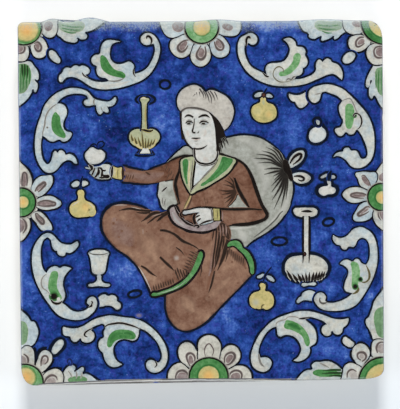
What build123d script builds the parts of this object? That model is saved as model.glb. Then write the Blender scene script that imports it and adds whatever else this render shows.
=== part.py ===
from build123d import *
from math import sqrt
import os

# A hand-made Persian wall tile: one fired slab of pale stonepaste, glazed and painted on its
# upper face. It lies on its back, painted face up. +Y points to the top of the picture, and the
# origin is at the middle of the back, on the surface that the tile lies on. Millimetres.

# The slab
THICKNESS = 20.0
BUTT_LAND = 7.0  # depth of the upright edge that touches the next tile
UNDERCUT = 2.5  # how far each side leans in below that land, to leave room for mortar
BACK_ARRIS = 1.0  # the back's edges are rubbed down by this much
FACE_ARRIS = 1.8  # radius of the glazed edge round the face

# Where the straight sides would meet. The slab was trimmed by eye, so it isn't quite square.
TOP_LEFT = (-101.0, 98.6)
TOP_RIGHT = (100.2, 99.6)
BOTTOM_RIGHT = (101.0, -98.0)
BOTTOM_LEFT = (-98.9, -101.9)

# How far each worn corner reaches along the side before it and the side after it, clockwise
TOP_LEFT_WEAR = (3.5, 4.0)
TOP_RIGHT_WEAR = (9.0, 12.0)
BOTTOM_RIGHT_WEAR = (5.5, 13.0)
BOTTOM_LEFT_WEAR = (8.5, 11.5)

# Where thick glaze ran over the top side: (distance from the left, length along the side, rise)
TOP_RUNS = [
    (12.0, 15.0, 1.9),
    (28.0, 24.0, 2.4),
    (95.0, 30.0, 1.0),
    (150.0, 38.0, 0.8),
]

# The glaze rolls off the face towards the top side
ROLL_WIDTH = 7.0
ROLL_DROP = 1.3

# The long flake that bared the body along the bottom edge
FLAKE_MIDDLE = 8.0  # its place along X
FLAKE_LENGTH = 128.0
FLAKE_DEPTH = 0.9

# Two bruises on the sides, each the hollow that a knock leaves: (x, y, radius, depth)
BRUISES = [
    (100.6, 46.0, 7.0, 0.6),
    (-100.6, -18.0, 8.0, 0.5),
]


def along(start, end, distance):
    """The point at that distance from start, on the way to end."""
    step = (Vector(*end) - Vector(*start)).normalized()
    return Vector(*start) + step * distance


def worn_corner(before, corner, after, wear):
    """The soft curve of a worn corner, which leaves each side along its own line."""
    first = along(corner, before, wear[0])
    last = along(corner, after, wear[1])
    return Bezier(first, Vector(*corner), last)


def glaze_run(origin, side, place, length, rise):
    """One smooth swelling of the top side, which leaves and meets the straight side in line."""
    outward = Vector(-side.Y, side.X)
    control_height = rise * 8 / 3  # a five-point Bezier reaches 3/8 of its middle point's height
    steps = [origin + side * (place + length * share) for share in (0, 0.25, 0.5, 0.75, 1)]
    steps[2] += outward * control_height
    return Bezier(*steps)


def top_side(start, end):
    """The top side, straight between its glaze runs, from one corner's curve to the next."""
    origin = Vector(*TOP_LEFT)
    side = (Vector(*TOP_RIGHT) - origin).normalized()
    pieces = []
    for run in TOP_RUNS:
        swelling = glaze_run(origin, side, *run)
        if (swelling @ 0 - start).length > 0.01:
            pieces.append(Line(start, swelling @ 0))
        pieces.append(swelling)
        start = swelling @ 1
    pieces.append(Line(start, end))
    return pieces


def face_outline():
    """The slab's outline as one closed face on the XY plane."""
    top_left = worn_corner(BOTTOM_LEFT, TOP_LEFT, TOP_RIGHT, TOP_LEFT_WEAR)
    top_right = worn_corner(TOP_LEFT, TOP_RIGHT, BOTTOM_RIGHT, TOP_RIGHT_WEAR)
    bottom_right = worn_corner(TOP_RIGHT, BOTTOM_RIGHT, BOTTOM_LEFT, BOTTOM_RIGHT_WEAR)
    bottom_left = worn_corner(BOTTOM_RIGHT, BOTTOM_LEFT, TOP_LEFT, BOTTOM_LEFT_WEAR)
    top = top_side(top_left @ 1, top_right @ 0)
    right = Line(top_right @ 1, bottom_right @ 0)
    bottom = Line(bottom_right @ 1, bottom_left @ 0)
    left = Line(bottom_left @ 1, top_left @ 0)
    corners_and_sides = [top_left, *top, top_right, right, bottom_right, bottom, bottom_left, left]
    return make_face(corners_and_sides)


def drawn_in(outline, inset, height):
    """The outline at that height, drawn in by that much on every side."""
    size = outline.bounding_box().size
    return Pos(0, 0, height) * scale(outline, by=(1 - 2 * inset / size.X, 1 - 2 * inset / size.Y, 1))


def slab(outline):
    """The slab: its upright land, the undercut sides below it, and the rubbed edge of the back."""
    land_foot = THICKNESS - BUTT_LAND
    land = extrude(Pos(0, 0, land_foot) * outline, BUTT_LAND)
    undercut_there = UNDERCUT * (1 - BACK_ARRIS / land_foot)
    sections = [
        drawn_in(outline, UNDERCUT + BACK_ARRIS, 0),
        drawn_in(outline, undercut_there, BACK_ARRIS),
        drawn_in(outline, 0, land_foot),
    ]
    return land + loft(sections, ruled=True)


def rolled_top(outline):
    """What is cut away where the glazed face rolls down towards the top side."""
    box = outline.bounding_box()
    start = box.max.Y - ROLL_WIDTH
    radius = (ROLL_WIDTH**2 + ROLL_DROP**2) / (2 * ROLL_DROP)
    clear = 5.0  # the cutter stands this far out of the slab
    surface = RadiusArc((start, THICKNESS), (box.max.Y, THICKNESS - ROLL_DROP), radius)
    rim = Polyline(
        (box.max.Y, THICKNESS - ROLL_DROP),
        (box.max.Y + clear, THICKNESS - ROLL_DROP),
        (box.max.Y + clear, THICKNESS + clear),
        (start, THICKNESS + clear),
        (start, THICKNESS),
    )
    section = make_face(Plane.YZ * (Curve() + [surface, rim]))
    return extrude(section, box.size.X, both=True)


def bottom_flake():
    """The long shallow hollow that a flake left along the front of the bottom edge."""
    slope = (BOTTOM_RIGHT[1] - BOTTOM_LEFT[1]) / (BOTTOM_RIGHT[0] - BOTTOM_LEFT[0])
    edge = Vector(FLAKE_MIDDLE, BOTTOM_LEFT[1] + slope * (FLAKE_MIDDLE - BOTTOM_LEFT[0]), THICKNESS)
    outward = Vector(0, -1, 1) * (1 / sqrt(2))
    radius = FLAKE_LENGTH**2 / (8 * FLAKE_DEPTH)
    middle = edge + outward * (radius - FLAKE_DEPTH - FACE_ARRIS * (sqrt(2) - 1))
    return Plane(middle, x_dir=(1, slope, 0), z_dir=(0, 1, 1)) * Cylinder(radius, 30)


def bruise(x, y, radius, depth):
    """The hollow of one knock on a side, under the glazed edge."""
    outward = 1 if x > 0 else -1
    return Pos(x + outward * (radius - depth), y, THICKNESS - FACE_ARRIS) * Sphere(radius)


def face_rim(body):
    """The edges round the glazed face: those that it and its rolled top don't share."""
    glazed = body.faces().filter_by(lambda face: face.normal_at().Z > 0.5)
    edges = [edge for face in glazed for edge in face.edges()]
    return [edge for edge in edges if sum(edge.is_same(other) for other in edges) == 1]


def tile():
    outline = face_outline()
    body = slab(outline)
    body -= rolled_top(outline)
    body = fillet(face_rim(body), FACE_ARRIS)
    body -= bottom_flake()
    for knock in BRUISES:
        body -= bruise(*knock)
    box = body.bounding_box()
    middle = (box.min + box.max) * 0.5
    return Pos(-middle.X, -middle.Y, -box.min.Z) * body


finished = tile()
os.makedirs("parts", exist_ok=True)
export_step(finished, "parts/tile.step")
box = finished.bounding_box()
print("tile", [round(value, 2) for value in box.size], "volume", round(finished.volume / 1000, 1), "cm3")
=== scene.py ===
# %% [markdown]
# # A Persian figure tile, painted under a clear glaze
#
# The real object is one slab of pale fired stonepaste. Its face carries a coat of white slip, colours
# brushed on it, and a clear glaze over all. We start from the finished CAD slab, which gives the
# outline, the undercut sides and the worn edges, and we never move it. Everything that a brush did is
# added here: the mottled blue, and on it the drawing, coat over coat.

# %% Load the slab
from functools import partial
from math import cos, exp, pi, radians, sin

import bmesh
import bpy
from mathutils import Matrix, Vector, noise
from mathutils.bvhtree import BVHTree
from mathutils.kdtree import KDTree


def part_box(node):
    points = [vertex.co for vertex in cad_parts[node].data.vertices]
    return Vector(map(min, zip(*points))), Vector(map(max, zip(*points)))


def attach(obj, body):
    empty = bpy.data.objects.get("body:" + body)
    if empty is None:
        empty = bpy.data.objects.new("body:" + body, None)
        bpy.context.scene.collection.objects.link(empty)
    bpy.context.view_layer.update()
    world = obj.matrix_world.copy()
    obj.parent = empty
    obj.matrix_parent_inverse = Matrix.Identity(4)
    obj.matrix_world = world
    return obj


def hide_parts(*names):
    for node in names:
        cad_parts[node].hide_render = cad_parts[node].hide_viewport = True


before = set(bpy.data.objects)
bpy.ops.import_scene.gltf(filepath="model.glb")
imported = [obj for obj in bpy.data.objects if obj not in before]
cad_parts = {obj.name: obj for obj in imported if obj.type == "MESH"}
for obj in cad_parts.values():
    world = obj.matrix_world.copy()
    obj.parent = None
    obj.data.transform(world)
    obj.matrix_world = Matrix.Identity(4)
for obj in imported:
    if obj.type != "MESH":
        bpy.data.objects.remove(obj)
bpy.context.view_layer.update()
low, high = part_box("tile")
print("slab", [round(value * 1000, 1) for value in high - low], "mm")

# %% [markdown]
# ## From the photo to the tile
#
# The photo looks straight at the face, so one pixel is one length everywhere on it. All places of the
# drawing are written in the photo's pixels, x to the right and y down, and two lines of arithmetic put
# them on the slab. Thicknesses and heights are written in millimetres.

# %% The picture's grid
MM = 0.001
PIXEL = 0.55 * MM  # the length on the tile that one pixel of the 400 x 409 photo shows
MIDDLE_X, MIDDLE_Y = 200.76, 201.49  # the pixel that lies over the slab's middle
FACE = high.z  # height of the slab's face


def spot(x, y):
    """The place on the tile, in metres, that a pixel of the photo shows."""
    return Vector(((x - MIDDLE_X) * PIXEL, (MIDDLE_Y - y) * PIXEL, 0))


def pixel_of(point):
    """The pixel of the photo that shows a place on the tile."""
    return point.x / PIXEL + MIDDLE_X, MIDDLE_Y - point.y / PIXEL


# %% [markdown]
# ## The glazed face
#
# A hand-made tile is never flat. The slip and glaze lie in slow waves, a tenth of a millimetre high,
# which bend every reflection. A displacement modifier would do it too, but then the painted shapes
# couldn't be laid on the same surface. So a copy of the slab is cut into a grid by planes, and
# mathutils' noise lowers each point of its face a little. Its back is roughened in the same way.

# %% Cut the slab and let its face wave
PITCH = 2.5 * MM  # distance of the cuts through the face
GLAZE_DEPTH = 0.28 * MM  # how far the ground lies below the slab's highest coat
WAVE = 0.09 * MM
SLOW, QUICK = 34.0, 95.0  # waves to the metre
ARRIS_DEPTH = 2.5 * MM  # the glaze and its waves go this far down the edge
BACK_GRAIN = 0.35 * MM  # how deep the rough back's hollows are
BACK_QUICK = 160  # and their number to the metre
BACK_HALF = 95 * MM  # half the width of the back, without its rubbed edges


def waviness(x, y):
    """From -1 to 1: the height of the glaze's waves at a place."""
    slow = noise.noise(Vector((x * SLOW, y * SLOW, 3.1)))
    quick = noise.noise(Vector((x * QUICK, y * QUICK, 7.7)))
    return slow + 0.35 * quick


def cut_in_grid(mesh, parts, pitch, lowest, highest):
    """Cuts the given parts of a mesh by upright planes, pitch apart, both ways."""
    for axis in (0, 1):
        normal = Vector((1, 0, 0)) if axis == 0 else Vector((0, 1, 0))
        number = int(lowest[axis] / pitch) - 1
        while number * pitch < highest[axis]:
            if number * pitch > lowest[axis]:
                place = normal * (number * pitch)
                parts = bmesh.ops.bisect_plane(mesh, geom=parts, plane_co=place, plane_no=normal)["geom"]
            number += 1
    return parts


def corners_of(faces):
    """The faces with their edges and points, each once."""
    edges = {edge for face in faces for edge in face.edges}
    points = {point for face in faces for point in face.verts}
    return [*points, *edges, *faces]


slab = bmesh.new()
slab.from_mesh(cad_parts["tile"].data)
bmesh.ops.remove_doubles(slab, verts=slab.verts[:], dist=0.001 * MM)
bmesh.ops.dissolve_limit(slab, angle_limit=radians(0.5), verts=slab.verts[:], edges=slab.edges[:])
glazed = [face for face in slab.faces if face.normal.z > 0.3]
cut_in_grid(slab, corners_of(glazed), PITCH, low, high)
rough = [face for face in slab.faces if face.normal.z < -0.9]
cut_in_grid(slab, corners_of(rough), 2 * PITCH, low, high)
for point in slab.verts:
    x, y, z = point.co
    if z > FACE - ARRIS_DEPTH:
        point.co.z -= GLAZE_DEPTH - WAVE * waviness(x, y)
    if z < 0.2 * MM and max(abs(x), abs(y)) < BACK_HALF:
        point.co.z += BACK_GRAIN * abs(noise.noise(Vector((x * BACK_QUICK, y * BACK_QUICK, 1.7))))
slab.normal_update()
surface = BVHTree.FromBMesh(slab)
print("glazed slab", len(slab.faces), "faces")

# %% [markdown]
# ## Where a painted point rests
#
# Each painted point is dropped straight down on the slab. Where the drawing runs off the tile, it is
# first cut along the four sides of the glaze. What still hangs over a worn corner or the rolled top is
# pulled back point by point. A ray cast tells both: what it hits, and how steep the surface is there.

# %% Drop a point on the glaze
STEEPEST = 0.5  # where the surface's normal has less z than this, the arris is bare
FLAKED = 0.8  # and with less than this, the flake
FLAKE = (-90 * MM, 38 * MM)  # where along the bottom edge the flake lies
STEP_BACK = 0.12 * MM
DOWN = Vector((0, 0, -1))
GLAZE_SIDES = [  # two pixels on each side of the glaze, with the slab on the right-hand side of the way
    ((21.0, 340.0), (17.7, 30.0)),
    ((30.0, 14.0), (370.0, 15.0)),
    ((382.5, 40.0), (383.7, 340.0)),
    ((360.0, 379.6), (46.0, 385.6)),
]
EDGE_CUTS = (  # columns, then rows, where shapes are cut so that they bend with the slab's edges
    [17.6 + 0.65 * step for step in range(9)] + [380.0 + 0.65 * step for step in range(7)],
    [19.0 + step for step in range(12)] + [376.4 + 0.65 * step for step in range(15)],
)


def rest_on_glaze(x, y):
    """The nearest glazed place under a point, pulled in from the edge where it has to be."""
    for step in range(90):
        place, normal = surface.ray_cast(Vector((x, y, 2 * FACE)), DOWN)[:2]
        steepest = FLAKED if y < -90 * MM and FLAKE[0] < x < FLAKE[1] else STEEPEST
        if place is not None and normal.z > steepest:
            return place
        if abs(y) > abs(x):
            y -= STEP_BACK if y > 0 else -STEP_BACK
        else:
            x -= STEP_BACK if x > 0 else -STEP_BACK
    return Vector((x, y, FACE - GLAZE_DEPTH))


def bisect(shape, place, normal, clear=False):
    """Cuts a whole shape by a plane. With clear, what lies on the normal's side goes."""
    parts = shape.verts[:] + shape.edges[:] + shape.faces[:]
    bmesh.ops.bisect_plane(shape, geom=parts, plane_co=place, plane_no=normal, clear_outer=clear)


def trim(shape):
    """Cuts off what lies beyond the sides of the glaze, and cuts the rest finely along them."""
    for start, end in GLAZE_SIDES:
        way = spot(*end) - spot(*start)
        bisect(shape, spot(*start), Vector((-way.y, way.x, 0)), clear=True)
    for axis, lines in enumerate(EDGE_CUTS):
        normal = Vector((1, 0, 0)) if axis == 0 else Vector((0, 1, 0))
        for place in lines:
            level = spot(place, place)[axis]
            values = [point.co[axis] for point in shape.verts]
            if values and min(values) < level < max(values):
                bisect(shape, normal * level, normal)


# %% [markdown]
# ## Deep and thin places in the blue
#
# Cobalt runs in the fire: where the brush left more of it, the blue is nearly black, and where it left
# little, it is milky. A noise texture gives such clouds but puts them anywhere. The clouds that the eye
# remembers are listed: a place, a reach, and how much lighter or deeper it is there. The lighter ones
# along the top edge are painted sheen instead, where the rolled top reflects the light. They are
# summed into one number on every point, and the blue's colour ramp is shifted by it.

# %% The clouds in the blue
CLOUDS = [  # x, y, reach in pixels, lighter (+) or deeper (-)
    # the first five lighten the blue along the top edge: painted sheen, where the rolled top reflects light
    (104, 22, 10, 0.12), (236, 23, 9, 0.22), (262, 23, 10, 0.26), (288, 24, 10, 0.22), (140, 22, 9, 0.08),
    (26, 118, 12, -0.03), (28, 138, 12, -0.10), (23, 152, 9, 0.0), (95, 230, 12, 0.06), (23, 285, 12, 0.16),
    (24, 250, 12, 0.14), (120, 55, 14, -0.16), (72, 118, 16, 0.05), (118, 125, 12, -0.22),
    (160, 122, 14, 0.14), (92, 238, 14, 0.16), (72, 200, 14, 0.0), (70, 175, 12, -0.09),
    (152, 207, 12, 0.16), (118, 268, 14, 0.15), (132, 280, 14, 0.08), (78, 350, 16, -0.05),
    (215, 320, 16, 0.04), (235, 326, 14, 0.05), (262, 342, 12, 0.06), (250, 316, 12, -0.14),
    (300, 140, 18, 0.16), (325, 165, 16, 0.08), (345, 175, 14, -0.10), (350, 218, 12, -0.14),
    (300, 240, 20, 0.10), (270, 262, 16, 0.06), (284, 228, 14, -0.14), (332, 290, 14, 0.04),
    (376, 296, 12, 0.16), (330, 350, 16, 0.22), (145, 182, 14, 0.08), (58, 212, 10, 0.06),
    (290, 350, 16, 0.04), (272, 50, 12, -0.18), (255, 62, 12, 0.02), (300, 40, 14, 0.10),
    (215, 75, 16, -0.06), (240, 82, 12, 0.10), (245, 120, 14, 0.08), (185, 68, 16, 0.0),
    (150, 190, 14, 0.06), (70, 100, 14, -0.04), (110, 145, 14, -0.08), (60, 225, 12, 0.0),
    (30, 260, 10, 0.04), (20, 120, 5, 0.22), (20.5, 142, 5, 0.22),
]


def thin_cobalt_and_sheen(x, y):
    """The sum of the listed clouds at a place on the tile, in metres, painted sheen on the top edge
    included.
    """
    column, row = pixel_of(Vector((x, y)))
    total = 0.0
    for cloud_x, cloud_y, reach, amount in CLOUDS:
        far = ((column - cloud_x) ** 2 + (row - cloud_y) ** 2) / reach**2
        if far < 9:
            total += amount * exp(-far)
    return total


# %% [markdown]
# ## Washes and brush lines
#
# Two kinds of shape make the whole picture. A wash is a filled outline, and a line is one pull of the
# brush. Each is a thin closed solid that stands a few hundredths of a millimetre over the one beneath,
# as fired colour really does, so the order of painting is kept by height alone.
#
# Blender's Bezier curve does the drawing: given points, smooth handles, and corners where SHARP
# marks them. For a wash its mesh becomes one face, which is cut in the slab's grid and extruded. For a
# line, a bevel gives the curve a four-sided section, and the radius at each point is the brush's
# pressure. Each point of a shape keeps six values for the materials: how near the rim it is, how far
# a soft rim has melted there, a tint to make one shape a little warmer or cooler than the next, how
# strong the colour is, how thin the cobalt is there with the painted sheen of the top edge added, and
# the colour of what lies beneath, into which it melts.

# %% A path through given points
SHARP = "sharp"
COAT = 0.03 * MM  # each coat of colour stands this much higher than the one before
FIRST_COAT = 0.02 * MM
SINK = 0.22 * MM  # and its solid reaches this far into the slab
RIDGE = 0.018 * MM  # the middle of a brush line stands over its sides
RIM = 0.8 * MM  # how far in a wash changes from its rim

shapes = {}  # the meshes of each pigment, in the order of painting


def path_mesh(points, closed, half_widths=None):
    """The mesh of a smooth path: a bare line, or with half widths (in pixels) a four-sided brush line."""
    curve = bpy.data.curves.new("path", "CURVE")
    curve.dimensions = "3D"
    curve.twist_mode = "Z_UP"
    curve.resolution_u = 4
    spline = curve.splines.new("BEZIER")
    spline.bezier_points.add(len(points) - 1)
    spline.use_cyclic_u = closed
    if half_widths:
        curve.bevel_depth = 1
        curve.bevel_resolution = 0
        curve.use_fill_caps = True
        spline.radius_interpolation = "CARDINAL"
    for number, (knot, point) in enumerate(zip(spline.bezier_points, points)):
        knot.co = spot(point[0], point[1])
        knot.radius = half_widths[number] * PIXEL if half_widths else 0
    for knot, point in zip(spline.bezier_points, points):
        off_the_tile = not (16 < point[0] < 385 and 15 < point[1] < 387)
        kind = "VECTOR" if SHARP in point or off_the_tile else "AUTO"
        knot.handle_left_type = kind
        knot.handle_right_type = kind
    holder = bpy.data.objects.new("path", curve)
    mesh = bpy.data.meshes.new_from_object(holder)
    bpy.data.objects.remove(holder)
    bpy.data.curves.remove(curve)
    return mesh


def keep(pigment, shape, tint, strength, beneath):
    """Writes a finished shape's values on its points and files it under its pigment."""
    bmesh.ops.recalc_face_normals(shape, faces=shape.faces[:])
    tints = shape.verts.layers.float.new("tint")
    strengths = shape.verts.layers.float.new("strength")
    thin_and_sheen_layer = shape.verts.layers.float.new("thinness")
    colours = shape.verts.layers.float_color.new("beneath")
    for point in shape.verts:
        point[tints] = tint
        point[strengths] = strength
        point[thin_and_sheen_layer] = thin_cobalt_and_sheen(point.co.x, point.co.y)
        point[colours] = beneath
    mesh = bpy.data.meshes.new(pigment)
    shape.to_mesh(mesh)
    shape.free()
    shapes.setdefault(pigment, []).append(mesh)


# %% [markdown]
# The colours are written as they look in the photo, from 0 to 255, and turned into the light values
# that Blender counts in.

# %% The palette


def srgb(red, green, blue):
    """A colour as it looks on the screen, turned into Blender's linear values."""
    channels = [value / 255 for value in (red, green, blue)]
    linear = [value / 12.92 if value < 0.04 else ((value + 0.055) / 1.055) ** 2.4 for value in channels]
    return [*linear, 1.0]


BLUE = srgb(34, 62, 140)
WHITE = srgb(196, 194, 186)
YELLOW = srgb(190, 176, 118)
GREEN = srgb(72, 126, 70)
BROWN = srgb(130, 98, 81)
MAUVE = srgb(158, 144, 140)
CUSHION = srgb(152, 153, 144)
TORSO = srgb(121, 89, 72)
HAIR = srgb(36, 30, 28)
INK = srgb(16, 17, 26)

# %% The wash


def wash(pigment, outline, coat, tint=0.0, soft=0.0, strength=1.0, beneath=WHITE):
    """A filled outline. With soft, its rim melts over that many pixels into what lies beneath."""
    mesh = path_mesh(outline, True)
    shape = bmesh.new()
    shape.from_mesh(mesh)
    bmesh.ops.contextual_create(shape, geom=shape.edges[:])
    border = [point.co.copy() for point in shape.verts]
    rims = shape.verts.layers.float.new("rim")
    for point in shape.verts:
        point[rims] = 1.0
    melts = shape.verts.layers.float.new("melt")
    if soft:
        bmesh.ops.inset_region(
            shape, faces=shape.faces[:], thickness=soft * PIXEL, use_boundary=True, use_even_offset=True
        )
        for point in shape.verts:
            point[rims] = point[melts] = 1.0 if point.is_boundary else 0.0
    lay(pigment, shape, coat, None if soft else border, tint, strength, beneath)


def lay(pigment, shape, coat, border, tint, strength, beneath):
    """Trims a flat shape, cuts it in the slab's grid, lays it on the glaze and gives it its thickness."""
    trim(shape)
    if not shape.faces:
        return
    places = [point.co for point in shape.verts]
    lowest = Vector([min(place[axis] for place in places) for axis in range(3)])
    highest = Vector([max(place[axis] for place in places) for axis in range(3)])
    cut_in_grid(shape, shape.verts[:] + shape.edges[:] + shape.faces[:], PITCH, lowest, highest)
    if border:
        rims = shape.verts.layers.float["rim"]
        nearest = KDTree(len(border))
        for number, place in enumerate(border):
            nearest.insert(place, number)
        nearest.balance()
        for point in shape.verts:
            point[rims] = max(0.0, 1 - nearest.find(point.co)[2] / RIM)
    under = shape.verts[:]
    bmesh.ops.extrude_face_region(shape, geom=shape.faces[:])
    under = set(under)
    for point in shape.verts:
        place = rest_on_glaze(point.co.x, point.co.y)
        height = -SINK if point in under else FIRST_COAT + coat * COAT
        point.co = place + Vector((0, 0, height))
    keep(pigment, shape, tint, strength, beneath)


# %% The brush line
UNEVEN = 0.38  # how much the brush's pressure wanders
WANDER = 0.13  # and how quickly, in waves to the pixel
TAPER = 3.5  # the pressure is whole past one part in this many of the length, from each end
ON_SIDE = 0.002 * MM  # what lies no higher than this is on the stroke's side


def line(
    pigment, points, width, coat, closed=False, ends=(0.5, 0.4), tint=0.0, strength=1.0, beneath=WHITE
):
    """One pull of the brush: width in pixels at its fullest, and its share left at each end."""
    pressure = []
    for number, point in enumerate(points):
        along = number / max(1, len(points) - 1)
        share = 1 + UNEVEN * noise.noise(Vector((point[0] * WANDER, point[1] * WANDER, coat)))
        if not closed:
            growing = ends[0] + (1 - ends[0]) * along * TAPER
            fading = ends[1] + (1 - ends[1]) * (1 - along) * TAPER
            share *= min(1, growing, fading)
        pressure.append(share * width / 2)
    mesh = path_mesh(points, closed, pressure)
    shape = bmesh.new()
    shape.from_mesh(mesh)
    bmesh.ops.remove_doubles(shape, verts=shape.verts[:], dist=0.0005 * MM)
    rims = shape.verts.layers.float.new("rim")
    melts = shape.verts.layers.float.new("melt")
    for point in shape.verts:
        point[rims] = point[melts] = 1.0 if abs(point.co.z) < ON_SIDE else 0.0
    trim(shape)
    bmesh.ops.holes_fill(shape, edges=[edge for edge in shape.edges if edge.is_boundary], sides=0)
    for point in shape.verts:
        above = point.co.z
        height = FIRST_COAT + coat * COAT + (0 if abs(above) < ON_SIDE else RIDGE)
        if above < -ON_SIDE:
            height = -SINK
        point.co = rest_on_glaze(point.co.x, point.co.y) + Vector((0, 0, height))
    keep(pigment, shape, tint, strength, beneath)


# %% [markdown]
# A disc is a round wash with a soft rim of any width, and a dab is one that is all rim: dark in its
# middle and nothing at its border. Both are drawn straight away as rings of faces.

# %% Discs and dabs
ROUND = 24  # corners of a disc


def disc(pigment, x, y, reach, coat, soft, flatness=1.0, turn=0, tint=0.0, strength=1.0, beneath=WHITE):
    """A soft oval, reach pixels from its middle to its border, the last soft ones of them melting."""
    shape = bmesh.new()
    rims = shape.verts.layers.float.new("rim")
    melts = shape.verts.layers.float.new("melt")
    place = Matrix.Translation(spot(x, y)) @ Matrix.Rotation(radians(turn), 4, "Z")
    rings = [[shape.verts.new(spot(x, y))] * ROUND]
    for radius, melt in ((reach - soft, 0.0), (reach, 1.0)):
        if radius > 0.1:
            ring = []
            for step in range(ROUND):
                angle = step * 2 * pi / ROUND
                corner = Vector((cos(angle), sin(angle) * flatness, 0)) * radius * PIXEL
                ring.append(shape.verts.new(place @ corner))
                ring[-1][rims] = ring[-1][melts] = melt
            rings.append(ring)
    for inner, outer in zip(rings, rings[1:]):
        for step in range(ROUND):
            corners = [inner[step - 1], outer[step - 1], outer[step], inner[step]]
            shape.faces.new(list(dict.fromkeys(corners)))
    lay(pigment, shape, coat, None, tint, strength, beneath)


def dab(pigment, x, y, reach, coat, **rest):
    """A soft oval touch, reach pixels from its middle to its rim."""
    disc(pigment, x, y, reach, coat, reach, **rest)


# %% [markdown]
# ## An outlined shape
#
# The painter drew every motif twice: first its dark outline on the blue, then its colour inside. We do
# the same. The outline is a closed brush line under the wash, a little wider than what shows, so the
# wash gives it a clean inner edge while its outer side sinks softly into the blue.

# %% Outline and fill
LINE_WEIGHT = 2.0  # how many times wider the thin lines are laid, as their sides melt away
OUTLINE = 2.8  # pixels that the dark line reaches out round a shape, its soft side counted
HALO = 5  # a halo is wider than its outline by this much
HALO_STEPS, HALO_STEP = 9, 0.06  # the motifs' halos lie at nine heights in turn, this far apart in coats


def halo(path, outline_width, coat, **rest):
    """The deeper blue that gathers round a dark outline."""
    line("blue_halo", path, outline_width + HALO, coat, strength=0.45, **rest)


def motif(outline, coat=1, pigment="white_slip", show=OUTLINE, tint=0.0, over="blue"):
    """A wash with its dark outline beneath it."""
    if over == "blue":
        halos = len(shapes.get("blue_halo", []))
        halo(outline, 2 * show, HALO_STEP * (halos % HALO_STEPS), closed=True)
        line("blue_black", outline, 2 * show, coat, closed=True)
    else:
        line("line_black", outline, 2 * show, coat, closed=True, beneath=over)
    wash(pigment, outline, coat + 1, tint=tint)


def ink(points, width=1.2, coat=5, beneath=WHITE, ends=(0.5, 0.4), strength=1.0):
    """A thin dark line of the drawing."""
    line("line_black", points, width * LINE_WEIGHT, coat, ends=ends, strength=strength, beneath=beneath)


def blush(pigment, points, width, coat=3, **rest):
    """A broad soft stroke of thin colour."""
    line(pigment, points, width, coat, ends=(0.3, 0.3), **rest)


def bow(start, stop, across=0.0, down=0.0):
    """The points of a short stroke, with its middle moved a little."""
    return [start, ((start[0] + stop[0]) / 2 + across, (start[1] + stop[1]) / 2 + down), stop]


# %% [markdown]
# Some brushes are used again and again on one thing. Each is loaded here with its colour, the coat it
# paints on and what lies beneath.

# %% Loaded brushes
leaf_green = partial(wash, "copper_green", soft=0.9)
leaf_shade = partial(blush, "deep_green", coat=4, beneath=GREEN)
leaf_rib = partial(line, "deep_green", coat=5, beneath=GREEN)
fruit_light = partial(blush, "white_touch", beneath=YELLOW)
cushion_light = partial(blush, "white_touch", beneath=CUSHION)
robe_tone = partial(blush, coat=7, beneath=BROWN)
robe_light = partial(blush, "white_touch", coat=8, beneath=BROWN)
robe_fold = partial(ink, coat=8, beneath=BROWN)
torso_fold = partial(ink, coat=8, beneath=TORSO)

# %% [markdown]
# In places the brush was full, and the outline there is twice as heavy. These pulls lie under the
# motifs that they belong to.

# %% Heavy outlines
for width, points in (
    (8.5, [(78, 328), (66, 327.5), (63.5, 327), (62.8, 331), (64, 335), (67, 336), (70, 336.5), (71.5, 340),
      (75, 342), (78.5, 340), (80.5, 338.3), (82, 341), (86, 342.5), (91, 341.5), (94, 338), (94, 333.5),
      (91, 329.3)]),
    (8.0, [(103.7, 332), (104, 337), (100, 340), (98.5, 345), (100, 350), (103, 353), (104, 357),
      (106, 362), (110, 366), (116, 367), (123, 364.3)]),
    (8.0, [(62, 303), (64, 299), (65, 295), (64, 290), (62.8, 285), (63.5, 279), (65.5, 274.5),
      (69, 270.5)]),
    (7.0, [(104, 308), (107, 305.5), (112.5, 306.5), (117, 309.5), (120, 308), (120.5, 304)]),
    (7.5, [(73, 311.5), (83.3, 311), (89, 307.3), (91, 304.8)]),
    (8.0, [(352.5, 293.3), (349, 292.3), (346.5, 291.5), (344.5, 289), (344.6, 285), (346, 280), (348, 275),
      (348.3, 270.5), (346, 267)]),
    (8.0, [(292, 155), (296, 151.8), (300, 150.5), (303.5, 151), (304.5, 154), (303.3, 158.5), (300, 162.7),
      (295.5, 165.8)]),
    (7.8, [(283.5, 39.5), (287, 42.5), (289, 46), (290, 50), (289, 54), (287, 58), (284, 61)]),
    (7.2, [(296, 46), (299.5, 46.8), (303, 47.5), (305.5, 51), (305, 55), (307, 59), (307.5, 63),
      (305, 67)]),
    (8.5, [(119, 204.2), (114, 205.2), (110, 207.7), (106, 211.3), (103.5, 216), (102.3, 222), (102.5, 226),
      (103.5, 231), (106, 236)]),
    (7.5, [(166, 303), (166.7, 311), (168.5, 317), (171.5, 322), (176, 327), (182, 330.2)]),
    (7.0, [(47.6, 102.8), (44.6, 108), (41, 116), (38, 124), (36, 132), (35, 140), (35, 148), (36, 156)]),
    (7.5, [(50, 171), (45, 171.5), (41.5, 168), (38.5, 163)]),
    (8.0, [(75.5, 217), (71.3, 214), (69.7, 210), (70.2, 206), (73, 202.6), (77.3, 200.5), (78.3, 197),
      (77.5, 192)]),
    (8.0, [(85.5, 200.3), (91, 203), (95, 207.3), (94.2, 212), (90.5, 215.7), (83, 217)]),
):
    line("blue_black", points, width, 0.8, ends=(0.4, 0.4))

# %% [markdown]
# ## The scrolls
#
# Eight curling stems with one leaf each frame the figure. Each is drawn as one closed outline, round
# the stem, its curled end, the leaf and the frilled tip, as the painter's brush went. Inside it come
# the green core of the leaf and the lines that part the leaf from its stem.

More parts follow.
